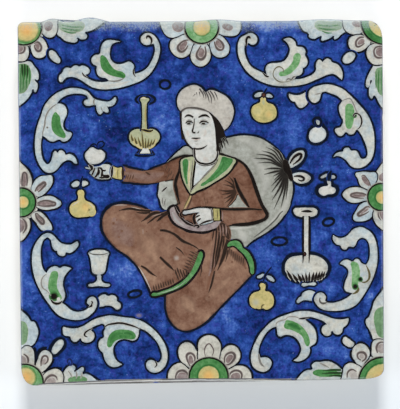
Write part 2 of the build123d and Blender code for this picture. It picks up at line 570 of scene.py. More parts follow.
# %% Top left scroll
motif([
    (60.5, 82), (59.5, 75.5), (62, 73), (64.5, 68.5), (67, 67.5), (71, 68), (73.5, 66), (77, 65.5),
    (79, 66.5), (82, 65.5), (86, 66.5), (89, 69), (89.5, 72), (87.5, 74), (85.5, 75), (90, 79.5),
    (96, 81.5), (104, 82), (109, 81, SHARP), (106, 78.2), (102, 77.5), (98, 75), (96.5, 70), (96.5, 66),
    (93, 64), (91.5, 59), (95, 55), (99.5, 54), (101, 48), (103, 43), (108, 40), (115, 40.5),
    (120.5, 41.5, SHARP), (115, 42.5), (111.5, 45), (110, 50), (110, 57), (112, 61), (116, 63.8), (121, 64),
    (126, 62.5), (129, 61.5), (132, 63), (134, 66), (133.3, 71), (134.5, 73.8, SHARP), (141, 72), (147, 68),
    (151, 62), (154, 55), (155, 48), (153.5, 43.5, SHARP), (150.5, 44.2), (147, 45), (143.5, 44), (141, 41),
    (141, 37.5), (143, 34.8), (146, 33.2), (149, 33), (152, 34), (155.5, 37), (158.5, 42), (160, 48),
    (159, 56), (156, 64), (152, 71), (147, 76.5), (141, 80.5), (134, 83.5), (126, 86), (118, 88), (110, 89),
    (104, 89.3), (97, 88.5), (91, 86.5), (84, 82), (77, 78), (71, 76.8), (66, 77.8),
])
leaf_green([(101.5, 55), (104.5, 56), (107, 58.5), (109, 62), (111.5, 66), (114.5, 69), (118.5, 70.6),
    (123, 72), (125.5, 75), (124.7, 78), (120, 77.7), (115, 76.7), (110, 75.2), (106, 73), (102.3, 69.5),
    (100.5, 65), (100, 60)], 3)
leaf_shade([(116.5, 73), (119.5, 74.2), (123, 75.6)], 5.0, strength=0.9)
leaf_shade([(104, 62), (107, 68), (113, 72.5)], 3.0, strength=0.5)
ink([(151, 44), (151.6, 40), (149.8, 36.8), (147.3, 36.3), (146.8, 38.8)], 1.5)
ink([(109, 80.8), (114, 81.2), (119, 80.5), (124, 78.3)], 1.0, strength=0.7)
ink([(133.4, 69), (133.5, 73), (135.5, 76.8)], 1.3)
ink([(82, 72.5), (84, 75.5), (88, 77.8)], 1.2)
blush("grey_wash", [(96, 85), (106, 86), (118, 84.5), (130, 81)], 3.0, strength=0.4)

# %% Left upper scroll
motif([
    (91, 95.5), (88, 92), (83, 89.6), (76, 88), (68, 88.5), (60, 91.5), (54, 95), (48, 101), (44, 107),
    (41, 116), (38, 124), (36, 132), (35, 140), (35, 148), (36, 156), (38.5, 163), (41.5, 168), (45, 171.5),
    (49.5, 172.8), (54, 171.5), (58, 168), (61, 164), (64, 161.5), (68.5, 160), (72, 161), (75, 163.5),
    (77, 163.5, SHARP), (76, 159), (73, 155.5), (69.5, 154), (65.5, 154.5), (64.5, 152.5), (62, 150.5),
    (59.5, 150.5), (57.5, 152.5), (55.5, 151), (53.5, 152.5), (52.5, 156), (50.5, 162), (47.5, 164.2),
    (44.5, 162), (42, 157), (41, 150), (41, 142), (42.3, 135.5, SHARP), (45.5, 137.5), (49, 140.5),
    (53, 141.5), (57, 140), (59.5, 139.5), (63, 141.5), (66, 141), (69.5, 138.5), (71.5, 135), (71.5, 133),
    (67, 131.5), (64, 129), (63, 124), (64.5, 119), (66.5, 115), (66, 108), (62, 104), (57, 103.5, SHARP),
    (60, 99.5), (65, 96), (71, 94), (78, 93.5), (84, 94.3), (87.3, 96.3), (88, 99.3, SHARP), (85.5, 100),
    (84, 102), (84.8, 104.5), (87.5, 105.8), (92, 105.3), (95.5, 105), (96.5, 109), (98, 112.8),
    (100, 114.4), (102, 113), (103.5, 111.3), (106, 112.5), (108.3, 112), (108.3, 109.5),
    (106.8, 106.3, SHARP), (109, 106.5), (113, 105.3), (115.6, 102), (116.2, 99), (115.3, 97.2), (113, 99),
    (109.5, 101.3), (104, 101.3), (99, 100.3), (96, 99.6), (93.5, 98.2),
], tint=-0.2)
leaf_green([(55.5, 112), (58, 114), (60, 117), (60.7, 122), (61.8, 127), (64, 131), (65.8, 135), (65, 138),
    (60, 137.2), (56, 135), (53, 131.8), (51.4, 127), (51.2, 122), (52, 117), (53.5, 113.5)], 3)
leaf_shade([(56, 117), (56.5, 124), (59, 131), (62, 135)], 4.0, strength=0.45)
ink([(56.5, 104), (51, 108), (47.3, 113), (45.3, 119), (44.6, 125), (43, 131), (42.3, 135)], 1.0,
    strength=0.65)
dab("line_black", 47.3, 127.5, 1.3, 5, strength=0.8)
ink([(94.5, 98.5), (93.6, 102), (94.5, 105)], 1.1, strength=0.7)
ink([(101, 107), (102.3, 111)], 1.1, strength=0.6)
blush("grey_wash", [(86, 92), (90, 96), (91, 100), (90, 104)], 2.4, strength=0.4)

# %% Left lower scroll
motif([
    (57.5, 240), (61, 243), (66, 244.5), (71, 244.5), (75, 242.5), (77.2, 241.3, SHARP), (78.5, 244),
    (76.5, 248), (73.5, 251), (69.5, 253), (66, 252.5), (64.5, 255.5), (61, 255.8), (57.5, 253.5),
    (57, 250.8), (55, 250.5), (52.5, 247), (51.5, 243), (50.5, 239.5), (47.3, 237, SHARP), (43.5, 240),
    (41.5, 245), (40.5, 252), (41, 260), (42, 266), (44, 270.5), (46.5, 273, SHARP), (49, 269), (52, 267),
    (56, 266.3), (60, 268), (63, 266.5), (67, 266.8), (71.5, 268.3, SHARP), (69, 270.5), (65.5, 274.5),
    (63.5, 279), (62.8, 285), (64, 290), (65, 295), (64, 299), (61.5, 302.5, SHARP), (65, 304.8),
    (72.9, 311), (83.3, 311), (89, 307.3), (91, 304.8, SHARP), (88, 304.3), (87.2, 301), (89.8, 297.6),
    (93.7, 297), (96.8, 301.3), (96, 307.8), (91, 314.3), (85, 318.3), (79.4, 319.8), (73, 319.8),
    (67.7, 318.9), (60, 316), (53, 309.5), (49, 304), (44, 297), (40, 290), (37, 284), (34, 275),
    (32.3, 266), (32, 258), (33, 250), (36, 243), (40, 237.5), (45, 233.7), (49.5, 233.3), (54, 236),
], coat=2, tint=-0.1)
motif([
    (98, 306.5), (97, 302), (97.5, 299.5), (100, 296), (105, 294.5), (108, 296), (112, 295), (116.5, 297.5),
    (117, 301), (120.5, 304), (120, 308), (117, 309.5), (112.5, 306.5), (107, 305.5), (102, 306.5),
])
leaf_green([(52.3, 271.3), (57, 271.3), (58.3, 274), (57.3, 282), (57.3, 287), (59, 291.5), (61.3, 295.5),
    (61.8, 299), (58.5, 300.5), (54, 296), (50, 293), (48, 288), (48.2, 282), (49.6, 276)], 4, soft=1.3,
    tint=0.9)
dab("line_black", 53.8, 296.4, 5.0, 5, strength=1.0, beneath=GREEN)
dab("white_touch", 58.6, 299, 1.8, 6)
ink([(51, 300), (54, 303), (59.5, 303.2), (62, 301)], 1.6)
ink([(46.5, 274), (43, 277), (41.3, 282), (42.5, 287.5), (47, 291), (51, 296)], 0.9, strength=0.6)
ink([(92.2, 304.5), (91, 306), (89, 307.5)], 1.6)
ink([(91.3, 304.8), (92.3, 302.5), (91.2, 300.8)], 1.1)

# %% Bottom left scroll
motif([
    (63.5, 327), (66, 327.5), (72, 328.5), (78, 328), (85, 325), (92, 320.5), (98, 318), (104, 316.5),
    (110, 315.5), (118, 316.5), (126, 317.5), (134, 318.5), (139, 320), (145, 323), (152, 328), (158, 334),
    (163, 341), (166.5, 349), (167.5, 357), (166, 364), (162.5, 369), (158, 372), (153, 372.5),
    (149, 370.5), (146.5, 367), (146.5, 363), (149, 360.5), (152.5, 360.2), (155.5, 362, SHARP),
    (158.5, 362.5), (161, 360), (162, 356), (160.5, 349), (157, 342), (152, 336), (146, 331),
    (139.3, 328, SHARP), (138.8, 331), (138.5, 335), (136.5, 339), (133, 340.5), (128, 339.5), (123, 339),
    (118, 341), (114.5, 345), (113, 350), (114, 356), (117, 361), (122, 364.5, SHARP), (116, 367),
    (110, 366), (106, 362), (104, 357), (103, 353), (100, 350), (98.5, 345), (100, 340), (104, 337),
    (103.7, 332), (105.5, 327.5), (103, 323.8), (99, 324.6), (95, 326), (91, 329.3), (94, 333.5), (94, 338),
    (91, 341.5), (86, 342.5), (82, 341), (80.5, 338.3), (78.5, 340), (75, 342), (71.5, 340), (70, 336.5),
    (67, 336), (64, 335), (62.8, 331),
])
leaf_green([(107, 342), (108, 337.5), (110.5, 333.5), (114.7, 330.5), (120, 329.3), (125, 329.5),
    (130.3, 330.3), (134.6, 333), (136, 337), (133.5, 339.3), (128, 339.3), (122, 339), (117.3, 340.2),
    (113.7, 343), (111, 347), (108, 347.3)], 3, soft=0.8)
leaf_shade([(124, 333.5), (128, 333), (132.5, 335)], 5.0, strength=0.75)
leaf_shade([(110, 343), (112, 337.5), (117, 334), (123, 333.5)], 4.5, strength=0.5)
ink([(104.5, 327), (108, 324.8), (113, 323.8), (120, 323), (127, 324.3), (134, 326.3), (140, 329)], 1.5)
ink([(92.5, 328.3), (88, 330.5), (85, 333), (84.8, 335.5), (87.5, 337)], 1.2)
ink([(155.3, 361.5), (156.8, 364.5), (154.6, 367.6)], 1.3)
ink([(143, 315), (150, 314.3), (153, 316), (157, 319), (163, 321.5)], 0.9, strength=0.4, beneath=BLUE)
dab("manganese_purple", 139, 315.5, 4.5, 3, flatness=0.7, strength=0.6, beneath=BLUE)

# %% Top right scroll
motif([
    (246, 34.7), (241, 37.5), (238.5, 42), (237.8, 48), (238.2, 54), (240, 60), (243, 66), (247, 71.5),
    (252, 76), (258, 80), (265, 83), (272, 85), (280, 86), (290, 86), (300, 85), (308, 83), (315, 80),
    (322, 77), (328, 74.5), (334, 74), (338, 76.5), (341.8, 79.8, SHARP), (342.7, 76), (342, 71), (340, 67),
    (337, 64), (332, 62), (330, 59.5), (327, 58.5), (324.5, 60), (322.5, 62, SHARP), (319.5, 59.5),
    (317, 61.5), (316, 65), (316, 70), (313, 74), (307, 77), (300, 79), (294.5, 79.3, SHARP), (296.5, 76.3),
    (300, 75), (302.5, 72), (303, 68), (305, 67), (307.5, 63), (307, 59), (305, 55), (305.5, 51),
    (303, 47.5), (299.5, 46.8), (296.5, 46), (295.5, 42.5), (293, 39.5), (290, 38), (287, 38),
    (283.5, 39.5, SHARP), (287, 42.5), (289, 46), (290, 50), (289, 54), (287, 58), (284, 61), (280, 62.5),
    (275, 63), (270, 63.5), (267, 65.5), (265.7, 69), (266.3, 72.5), (267, 74.8, SHARP), (263, 73),
    (259, 71), (254, 68.5), (250, 65), (247, 60), (245, 54), (244.3, 48), (245.3, 43, SHARP), (248.5, 43),
    (251.5, 44.5), (254.5, 44.3), (257, 41.5), (257, 37.5), (254, 34), (250, 33),
], tint=0.3)
leaf_green([(296, 53), (300.5, 54), (300.3, 61), (298, 66.5), (294, 71), (289.5, 74.5), (284, 76.3),
    (279, 75.5), (279, 72.5), (283, 70.5), (287, 67.7), (290.7, 64), (292.8, 60), (293.2, 56)], 3, soft=1.9,
    tint=1.7)
ink([(250.5, 38.4), (249, 36.9), (247, 38.3), (246.3, 42), (246.6, 46)], 1.7)
line("olive_line", [
    (283.3, 72.3), (283.3, 69.5), (281, 67.2), (277.8, 66.8), (275, 69), (273.4, 72), (273.4, 76),
    (275.5, 79), (279, 81.5), (284, 82), (290, 80.8), (294.5, 79.3),
], 1.4, 5)
ink([(286.3, 80.6), (288, 78.8), (291.5, 79.3), (293.5, 77), (296, 76.5)], 1.2, strength=0.8)
ink([(262.5, 72.6), (267, 76.4), (269, 76.4)], 1.3)

# %% Right upper scroll
motif([
    (311, 89), (314, 87), (318, 85.8), (324, 84.5), (330, 84.5), (336, 86), (342, 88.5), (347, 92.3),
    (353, 98), (359, 104.5), (364, 110), (369, 117.5), (372, 125), (374, 134), (374.5, 143), (374, 151),
    (372, 158), (368, 163.5), (364, 166.5), (359, 168), (354, 167.5), (350, 165), (347, 161), (344, 158.5),
    (340, 156.3), (336, 156), (333.3, 157.2, SHARP), (336, 153.5), (340, 152), (343, 151.5), (344, 149),
    (346.5, 147.7), (349, 148), (351, 150.5), (355, 150.5), (357.5, 152), (359, 155), (361, 158.3),
    (364, 158.8), (367, 156.5), (367.5, 151), (366, 145), (364, 140), (361, 134), (358, 130, SHARP),
    (356, 130), (355, 132), (353, 134), (349, 134), (347, 132.5), (345.5, 132.3), (343, 135), (340, 136),
    (337, 134), (335, 130), (336, 128.5), (340.5, 127), (342.5, 124), (343, 120), (341, 116), (339.3, 111),
    (339.3, 106), (341.3, 102.5), (342.6, 100.6, SHARP), (340, 98), (337, 95.7), (334, 94.5), (330, 93),
    (325, 91.5), (321, 92.8, SHARP), (320.5, 96), (319.5, 99.5), (317, 102), (314, 102.8), (311, 101),
    (309, 98), (308.6, 94), (309.3, 91),
], coat=2, tint=0.2)
motif([
    (309.5, 90.2), (307, 91.3), (304, 93), (300, 94.8), (296, 95.2), (292, 94.5), (289, 93.7, SHARP),
    (288.8, 96), (290, 98.7), (292, 101), (295, 101.8), (296.5, 104.5), (298.5, 107), (301, 108),
    (305, 106), (307.7, 103), (309.5, 99.5), (310.5, 95),
], tint=0.3)
leaf_green([(345.8, 105), (351, 103.5), (354, 107.5), (354.7, 113), (354.3, 118), (353.2, 124),
    (351, 128.7), (347.5, 129), (345.4, 125), (345, 118), (345, 111)], 4, soft=1.7, tint=1.3)
ink([(354.7, 117.3), (353.7, 115), (356, 113.4), (359, 114.5), (361.2, 118), (361.6, 123), (360, 127),
    (357.5, 129.3)], 1.2)
dab("line_black", 354.6, 115.6, 2.4, 5, strength=0.9, beneath=GREEN)
ink([(342.6, 100.5), (346, 99.2), (350, 98.6), (353, 103), (356, 110), (358, 114)], 1.0, strength=0.6)
ink([(321.5, 92.9), (318, 93.8), (314.8, 94.5)], 1.1, strength=0.6)

# %% Right lower scroll
motif([
    (353, 229.5), (357, 227.7), (361, 227), (366, 229), (371, 232.5), (375, 239), (377, 247), (377.6, 256),
    (377, 264), (375, 272), (372.5, 279), (369, 286), (365, 293), (361, 299), (357, 304), (352, 307.3),
    (346, 309.5), (338, 310.7), (330, 310.7), (324, 309.8), (320, 308), (317, 305), (315, 302),
    (314.2, 299), (314.7, 297), (316.5, 294.3), (319.5, 292.7), (322.5, 292.9), (325, 295), (326, 298),
    (325.2, 300.5), (327, 302.3, SHARP), (331, 303), (337, 302), (343, 300), (349, 296.5),
    (352.5, 293.3, SHARP), (349, 292.3), (346.5, 291.5), (344.5, 289), (344.6, 285), (346, 280), (348, 275),
    (348.3, 270.5), (346, 267), (343, 265), (339.8, 263.8, SHARP), (343, 260.7), (347, 259.7), (350, 260.7),
    (353, 262), (354.5, 260), (356.5, 258.8), (359, 259.7), (361, 262.5), (364, 264.3),
    (366.3, 264.8, SHARP), (369, 260), (370, 252), (369.5, 246), (368, 241.5), (365.5, 238.7), (362, 237.7),
    (358.5, 239.3), (356.5, 242.5), (355.3, 245.3), (353, 247), (350.5, 246.5), (348.3, 246.8),
    (346.5, 249), (344, 249.5), (341.8, 248), (340.5, 245.5), (337, 244.5), (334, 241.5), (332.8, 238),
    (333.3, 235, SHARP), (336, 236.8), (340, 238), (345, 237), (349.5, 233.5),
], coat=2, tint=0.1, show=2.4)
motif([
    (297, 302.6), (298, 299), (300, 297), (301.6, 296.4), (302, 294.5), (303.5, 292.5), (307, 290.7),
    (310, 290.2), (313.5, 291.3), (317, 294), (316, 298), (315, 301.5), (312, 301), (308, 300.3),
    (304, 300.3), (301, 301.3), (298.5, 303),
], tint=-0.1, show=2.4)
leaf_green([(350.8, 262.5), (357, 262.3), (359.7, 267.5), (360.3, 274), (359.5, 280), (358, 285),
    (355, 288.2), (352, 287), (351.5, 281), (351.6, 275), (351.3, 268)], 4, soft=1.7, tint=1.7)
line("olive_line", [(366.2, 265.5), (368.5, 270.5), (369.6, 276), (368, 280.3), (364, 282.4),
    (360.5, 281.2)], 3.2, 5)
dab("line_black", 360.3, 279.3, 2.6, 6, strength=1.0, beneath=GREEN)
dab("line_black", 355.3, 286.6, 3.3, 6, strength=1.0, beneath=GREEN)
line("olive_line", [(356.5, 286), (358.3, 289), (356.3, 292.3), (352.5, 294)], 3.4, 5)
ink([(320.2, 297.6), (319.7, 300.5), (321.5, 303), (324.5, 303.2), (327, 302.2)], 1.5, strength=0.85)

# %% Bottom right scroll
motif([
    (275.5, 319.3), (282, 316.3), (288, 314.3), (294, 312.3), (300, 311.2), (306, 311), (312, 311.7),
    (318, 313.2), (326, 316), (333, 318.5), (341, 319.5), (348.5, 318.3, SHARP), (348.5, 321), (346.5, 325),
    (343, 328), (342, 332), (338.5, 334.5), (334.5, 333.5), (332, 331), (330.5, 334.5), (327, 336),
    (323.7, 334.5), (321.8, 331), (322, 328), (324, 325.5), (327, 324.3, SHARP), (323.5, 321.3),
    (320, 319.7), (316, 318.3), (312, 317.2), (308, 317), (303.5, 318, SHARP), (305.5, 320), (308.5, 322.5),
    (311.5, 325), (314.3, 328.5), (315.8, 332), (316.4, 336), (316.4, 340), (315, 343.5), (312, 345.5),
    (309.8, 347.3), (310, 350), (309.5, 353), (308, 356), (305, 358.8), (301, 360.8), (297, 361.4),
    (293.5, 360.5, SHARP), (297.5, 357.7), (300, 354), (301.3, 350), (300.5, 345), (298.5, 341), (296, 338),
    (292, 335.7), (288, 334.8), (284, 335.2), (280.5, 336.5), (278, 335.2), (277.2, 331),
    (276.5, 326.5, SHARP), (272.5, 327.7), (268, 331), (264, 336), (261, 342), (259, 348), (258.5, 353),
    (260, 357.8, SHARP), (262.5, 357.5), (266, 357.3), (269.3, 358.7), (271.5, 362), (270.8, 366.3),
    (268, 370), (264, 371.8), (260, 371.3), (256, 369.3), (252.7, 366), (251.2, 361), (251.2, 355),
    (253, 348), (256, 341), (260, 334), (265, 328), (270, 323),
], tint=0.1)
leaf_green([(286, 320.2), (290.5, 320.3), (295.3, 321.9), (300.5, 325), (304.6, 329), (307.7, 333.7),
    (309.7, 339), (309.5, 345), (307.5, 346.5), (304.7, 343.5), (303.5, 339.5), (301, 335.5), (296, 332.3),
    (290.5, 330), (286, 329), (283.8, 326.8), (284.7, 323)], 3, soft=1.2, tint=0.6)
leaf_shade([(287.5, 324), (291.5, 325), (296, 326.5), (300.5, 329.5)], 5.5, strength=0.9)
ink([(258.6, 354), (259.6, 360), (261.6, 364.5), (264.3, 366.6)], 1.5, strength=0.7)
ink([(276.5, 327), (276.3, 323.5), (281, 320.6), (285.5, 319.3), (287.5, 317.4), (292, 316.6), (297, 317.2),
    (300, 318.8)], 1.0, strength=0.5)
ink([(299, 318.8), (303.8, 318.3), (309, 317.3)], 1.4)

# %% [markdown]
# ## The rosettes
#
# A half or quarter flower fills each corner and the middle of each side, cut off by the tile's edge.
# Petals are painted one over the next, so each later petal takes two coats more. A ring of green and a
# yellow heart cover where they meet.

# %% A flower's heart and petals


def heart(x, y, ring, core, coat=9, core_place=None, green=0.0, melting=2.2, glow=0.7):
    """The green ring and the yellow middle of a flower, with their dark outlines."""
    core_x, core_y = core_place or (x, y)
    circle = [(x + ring * cos(turn * pi / 8), y + ring * sin(turn * pi / 8)) for turn in range(16)]
    inner = [(core_x + core * cos(turn * pi / 8), core_y + core * sin(turn * pi / 8)) for turn in range(16)]
    disc("white_slip", x, y, ring + 4, 1.3, 0.6)
    line("line_black", circle, 4.4, coat, closed=True, beneath=srgb(170, 168, 156))
    disc("copper_green", x, y, ring, coat + 1, 1.0, tint=green, beneath=INK)
    if melting < 4:
        line("deep_green", inner, 3.6, coat + 1, closed=True, beneath=GREEN)
    disc("ochre_yellow", core_x, core_y, core, coat + 2, melting, beneath=GREEN)
    dab("warm_ochre", core_x, core_y, core * 0.8, coat + 3, strength=glow, beneath=YELLOW)


def petal(
    outline, coat=1, loop=None, shade=None, tint=0.0, loop_width=1.7, show=OUTLINE, shade_strength=0.85
):
    """One petal: outline, wash, and inside it a loop of dark line round an aubergine shade."""
    halo(outline, 2 * show, 0.3, closed=True)
    line("blue_black", outline, 2 * show, 0.5, closed=True)
    line("line_black", outline, 2.2, coat, closed=True, beneath=INK)
    wash("white_slip", outline, coat + 1, tint=tint)
    if shade:
        wash("manganese_purple", shade, coat + 2, soft=0.9, strength=shade_strength, tint=-0.9)
    if loop:
        line("line_black", loop, loop_width * 1.6, coat + 3, strength=0.75, beneath=MAUVE)


# %% Top left flower
petal([(41.8, 16), (42, 24), (41.3, 31), (44, 35), (49, 37.5), (54, 36), (57, 31), (57, 24), (56, 16)], 3,
    shade=[(45, 22), (52, 22), (52, 29), (48, 31.5), (44.5, 29)], tint=0.2)
petal([(37, 36), (41.5, 37.5), (44.5, 40.5), (47, 46), (47.5, 51), (44.5, 56), (39.5, 58), (34.5, 56.5),
    (31.5, 51), (30.5, 45), (31.5, 40)], 5,
    loop=[(34, 43.5), (37, 42), (40.3, 44.5), (41.2, 48.5), (38.8, 51.2), (35.7, 49.3), (34.2, 45)],
    shade=[(35, 43), (38.5, 43.5), (40, 47), (38.5, 50), (36, 48)], tint=0.4, loop_width=1.7)
petal([(15, 42), (24, 43), (27.5, 46), (28.7, 51), (28.2, 56), (25, 60.5), (21, 61.2), (15, 60)], 3,
    loop=[(16, 44.5), (20, 44), (23.5, 45.5), (24.7, 48.5), (23.3, 52), (20, 53.3), (16, 53)],
    shade=[(16, 45), (22, 45.5), (23.5, 48.5), (21.5, 52), (16, 52.5)], tint=0.4, loop_width=1.6)
heart(23.5, 27, 17.3, 14, core_place=(26.5, 29.5), green=1.1, melting=8.5, glow=1.0)
motif([(50, 50.5), (54, 51.2), (58, 56), (60.3, 60.5), (59.3, 63), (55, 62), (50.5, 58), (49, 54)], 7,
    tint=0.1)
motif([
    (15, 62.5), (21, 62.8), (30, 61.5), (34, 66), (37.5, 71), (38.7, 76), (37.3, 80), (35, 79.3),
    (37.5, 84), (36.7, 90), (35, 92.2), (33, 89), (31.5, 92.5), (28, 98), (23, 103), (15, 108),
], 1, tint=-0.2)
leaf_green([(15, 64), (27, 64), (31, 70), (31.5, 78), (29, 86), (24, 93), (15, 94)], 3, soft=2.2,
    strength=0.8)
for x, top, foot in ((23, 66, 90), (26.3, 65, 88), (29.5, 68, 84), (20.3, 68, 92)):
    leaf_rib(bow((x, top), (x, foot), across=0.3), 1.6, strength=0.8)
for x, top, foot in ((22, 64.5, 78), (24.6, 64, 80), (27.3, 65.5, 79)):
    ink(bow((x, top), (x, foot), across=0.3), 1.1, 6, beneath=GREEN, ends=(1.0, 0.1), strength=0.85)
motif([
    (57, 14), (57.5, 34.5), (61, 37.2), (65, 40.5), (70, 42), (76, 42), (77.5, 40), (77, 37.8), (81, 39.2),
    (86, 38.2), (87, 35.5), (85, 32.5), (88, 31.3), (93, 29.7), (98, 26.3), (103, 22.3), (112, 14),
], 1, tint=0.0)
leaf_green([(58, 22), (72, 21), (84, 22.5), (84, 29), (77, 33), (66, 33), (59, 29)], 3, soft=3.2,
    strength=0.6)
for start, stop in (((62, 25), (82, 27)), ((62, 28), (80, 30)), ((64, 31), (76, 33))):
    leaf_rib(bow(start, stop, down=0.8), 1.5, strength=0.55)

# %% Top middle flower
petal([(159, 14), (160.5, 24), (162.5, 30), (166, 35), (171, 37.5), (178, 36.3), (184, 34), (189, 29),
    (188, 14)], 1,
    shade=[(172, 24), (183, 23), (184, 29), (176, 32)], tint=-0.1, show=2.4)
petal([(170, 44), (172, 40), (178, 37.5), (183, 35), (188, 34.8), (191, 38), (193.5, 43.5), (192.3, 49),
    (190, 53), (186, 56.3), (181, 57.7), (176, 56), (172, 52), (170, 48)], 3,
    loop=[(188.5, 40), (185, 40.5), (180.2, 43.5), (177.8, 48), (181, 51.7), (185, 50), (188, 45.5)],
    shade=[(187, 41), (182, 43), (179, 47.5), (182, 50.5), (186, 47)], tint=0.3, show=2.4)
petal([(210, 43.5), (212, 40.5), (214, 39), (216, 36.5), (219, 35), (222.3, 36.7), (225.3, 39.5),
    (227.7, 43), (229.2, 46), (229.2, 50), (227.7, 54), (224, 56.7), (220, 57.4), (216, 56.5), (213, 54),
    (211, 50)], 3,
    loop=[(214.3, 41.5), (215.3, 45.3), (217, 48.3), (219.5, 49.9), (222.2, 49.5), (223.5, 46.5), (222, 43),
      (219, 39.8), (216.5, 38.5)],
    shade=[(215.5, 41), (218, 47.5), (221.5, 48.5), (222, 45), (218.5, 40)], tint=-0.1, show=2.4)
petal([(215, 30), (218, 33), (222, 35), (227, 35.8), (232, 36), (236.3, 35), (239.3, 32), (240.7, 28),
    (240.5, 23), (240, 14), (216, 14)], 1,
    shade=[(222, 25), (232, 25), (233, 29), (226, 30.5)], tint=-0.2, show=2.4)
petal([(190.7, 55), (192, 50), (194.5, 44.5), (199, 43), (205, 43), (208.2, 46), (210.2, 52), (210, 59),
    (206, 64.3), (200.5, 66.5), (195, 64.5), (191.5, 60)], 5,
    loop=[(205, 46.5), (205.7, 54), (203, 58.5), (200, 59.2), (197.3, 57.3), (196.8, 53.5), (199, 49),
      (201, 45.5)],
    shade=[(200, 48), (204, 49), (204.5, 54), (202, 57.5), (198.5, 56.5), (198, 53)], tint=0.2, show=2.4)
heart(201.7, 26.6, 16.2, 9.6, core_place=(201.8, 27), green=1.6, melting=4.4, glow=0.5)

# %% Top right flower
petal([(342, 14), (343, 22), (344, 28), (347, 31.7), (352, 34), (358, 34.2), (363, 31), (363, 14)], 3,
    shade=[(352, 22), (360, 22), (361, 26), (354, 26.5)], tint=0.1)
petal([(354, 35.7), (350, 38), (348.5, 43), (350, 48), (353, 51), (358, 51.7), (364, 49.5), (368, 46),
    (370.5, 43), (366, 37), (359, 34.8)], 5,
    loop=[(364, 37.2), (360.5, 37.3), (357, 40), (355.8, 43.5), (357.2, 46.6), (360.5, 46), (364.5, 43.3)],
    shade=[(363, 38.5), (358.5, 40.5), (357.5, 44.5), (360, 45), (365, 41.5)], tint=0.5, loop_width=1.6)
petal([(372, 44.5), (369.5, 46), (367, 50), (366.8, 55), (369, 60), (373, 64), (378.5, 64.7), (388, 62),
    (388, 42)], 5,
    loop=[(385, 46.8), (378, 46.6), (375, 48.3), (374, 52.3), (376.2, 57), (380, 57.8), (385, 57)],
    shade=[(377, 48), (375.5, 52), (377.5, 56), (388, 56), (388, 48)], tint=0.4, loop_width=1.5)
heart(384.5, 21, 22.8, 16.5, green=-0.3, glow=0.3)
motif([(350, 52), (346, 54), (343, 58), (343.3, 62), (347, 63.5), (351, 62), (354.5, 58), (355, 54.5),
    (352.7, 52.3)], 7)
motif([
    (297, 15), (303, 30), (309, 34), (309, 36.7), (314, 38.7), (319, 36.5), (321.5, 36), (321.5, 40.3),
    (325, 40), (330, 38), (334, 36), (334.3, 39), (337.5, 38), (341, 34.7), (345, 32), (350, 30), (350, 15),
], 1, tint=-0.2)
leaf_green([(315, 22), (330, 21), (342, 22), (343, 27), (337, 31), (325, 31.5), (316, 29)], 3, soft=3.0,
    strength=0.65)
for start, stop in (((318, 25), (340, 25)), ((319, 28), (336, 29)), ((322, 31), (332, 33))):
    leaf_rib(bow(start, stop, down=0.8), 1.4, strength=0.5)
motif([
    (378, 60), (374, 65), (371, 70), (368, 76), (366, 83), (366.8, 87), (369, 87), (371.5, 80), (370, 85),
    (369, 92), (370, 97), (371.7, 98.5), (374, 95.5), (376, 97), (379, 103), (383, 108), (390, 112),
    (390, 60),
], 1, tint=-0.1)
leaf_green([(376, 69), (380, 67), (390, 66), (390, 97), (380, 95), (376.5, 88), (375, 78)], 3, soft=2.0,
    strength=0.8)
for start, stop in (((379, 70), (378.5, 92)), ((382, 70), (382, 94)), ((376.5, 74), (376, 88))):
    leaf_rib(bow(start, stop, across=-0.4), 1.4, strength=0.6)

# %% Left middle flower
petal([(15, 157), (19, 161), (22, 164), (27, 169), (30, 174), (31.7, 180), (31.5, 185), (29.5, 190),
    (15, 190)], 1,
    loop=[(22, 187), (22.3, 178), (24.5, 172.5), (27, 178), (26.8, 186)],
    shade=[(22, 174), (25, 173), (27, 179), (26, 186), (22, 187)], tint=0.6)
petal([(31.3, 188.5), (33, 184), (36, 179.5), (41, 176.3), (46, 175.7), (51.5, 175.7), (52.7, 180),
    (51.5, 185), (48, 190), (44, 194), (38, 196.7), (34, 194)], 1,
    loop=[(35, 191.5), (37, 187.5), (41, 184.3), (45, 182.8), (42, 188.5), (38, 192.2)],
    shade=[(36, 191), (39, 186.5), (44, 183.5), (41, 188.5)], tint=-0.2)
petal([(35, 201), (40, 197.7), (46, 196), (52, 196.3), (57, 199), (61.2, 203.3), (58, 207), (52, 209),
    (45, 209.7), (39, 208.2), (35, 205)], 3,
    loop=[(36, 204), (41, 201.5), (47, 200.7), (52, 202), (55.5, 203.8), (50, 205.7), (42, 206), (37, 205)],
    shade=[(37, 203.5), (44, 201.5), (54, 203.7), (44, 205.5)], tint=-0.1, loop_width=1.5)
petal([(31, 215), (34, 212.5), (38, 211.5), (41.5, 212.7), (45, 216), (49, 221), (51.7, 226), (51.7, 229.7),
    (48, 230.7), (43, 230.7), (39.5, 228), (36, 222.5), (32, 218)], 1,
    loop=[(35.5, 213), (36.5, 217.5), (39.5, 221.5), (43, 223.7), (43.5, 220.5), (40, 216.5), (36.5, 213)],
    shade=[(37, 214.5), (39, 219.5), (42.5, 222.5), (42.3, 220), (39, 215.8)], tint=0.0)
petal([(15, 217), (24, 216.5), (28.5, 218.5), (30.2, 224), (29.2, 230), (26, 236), (22, 240.3),
    (15, 242)], 1,
    loop=[(21.5, 217.5), (25.5, 222.5), (26, 228), (23, 233.3)],
    shade=[(15, 219), (23, 220), (25, 226), (22, 232), (15, 234)], tint=0.6)
heart(21.2, 202.4, 13.8, 6.3, core_place=(22.8, 202.2))

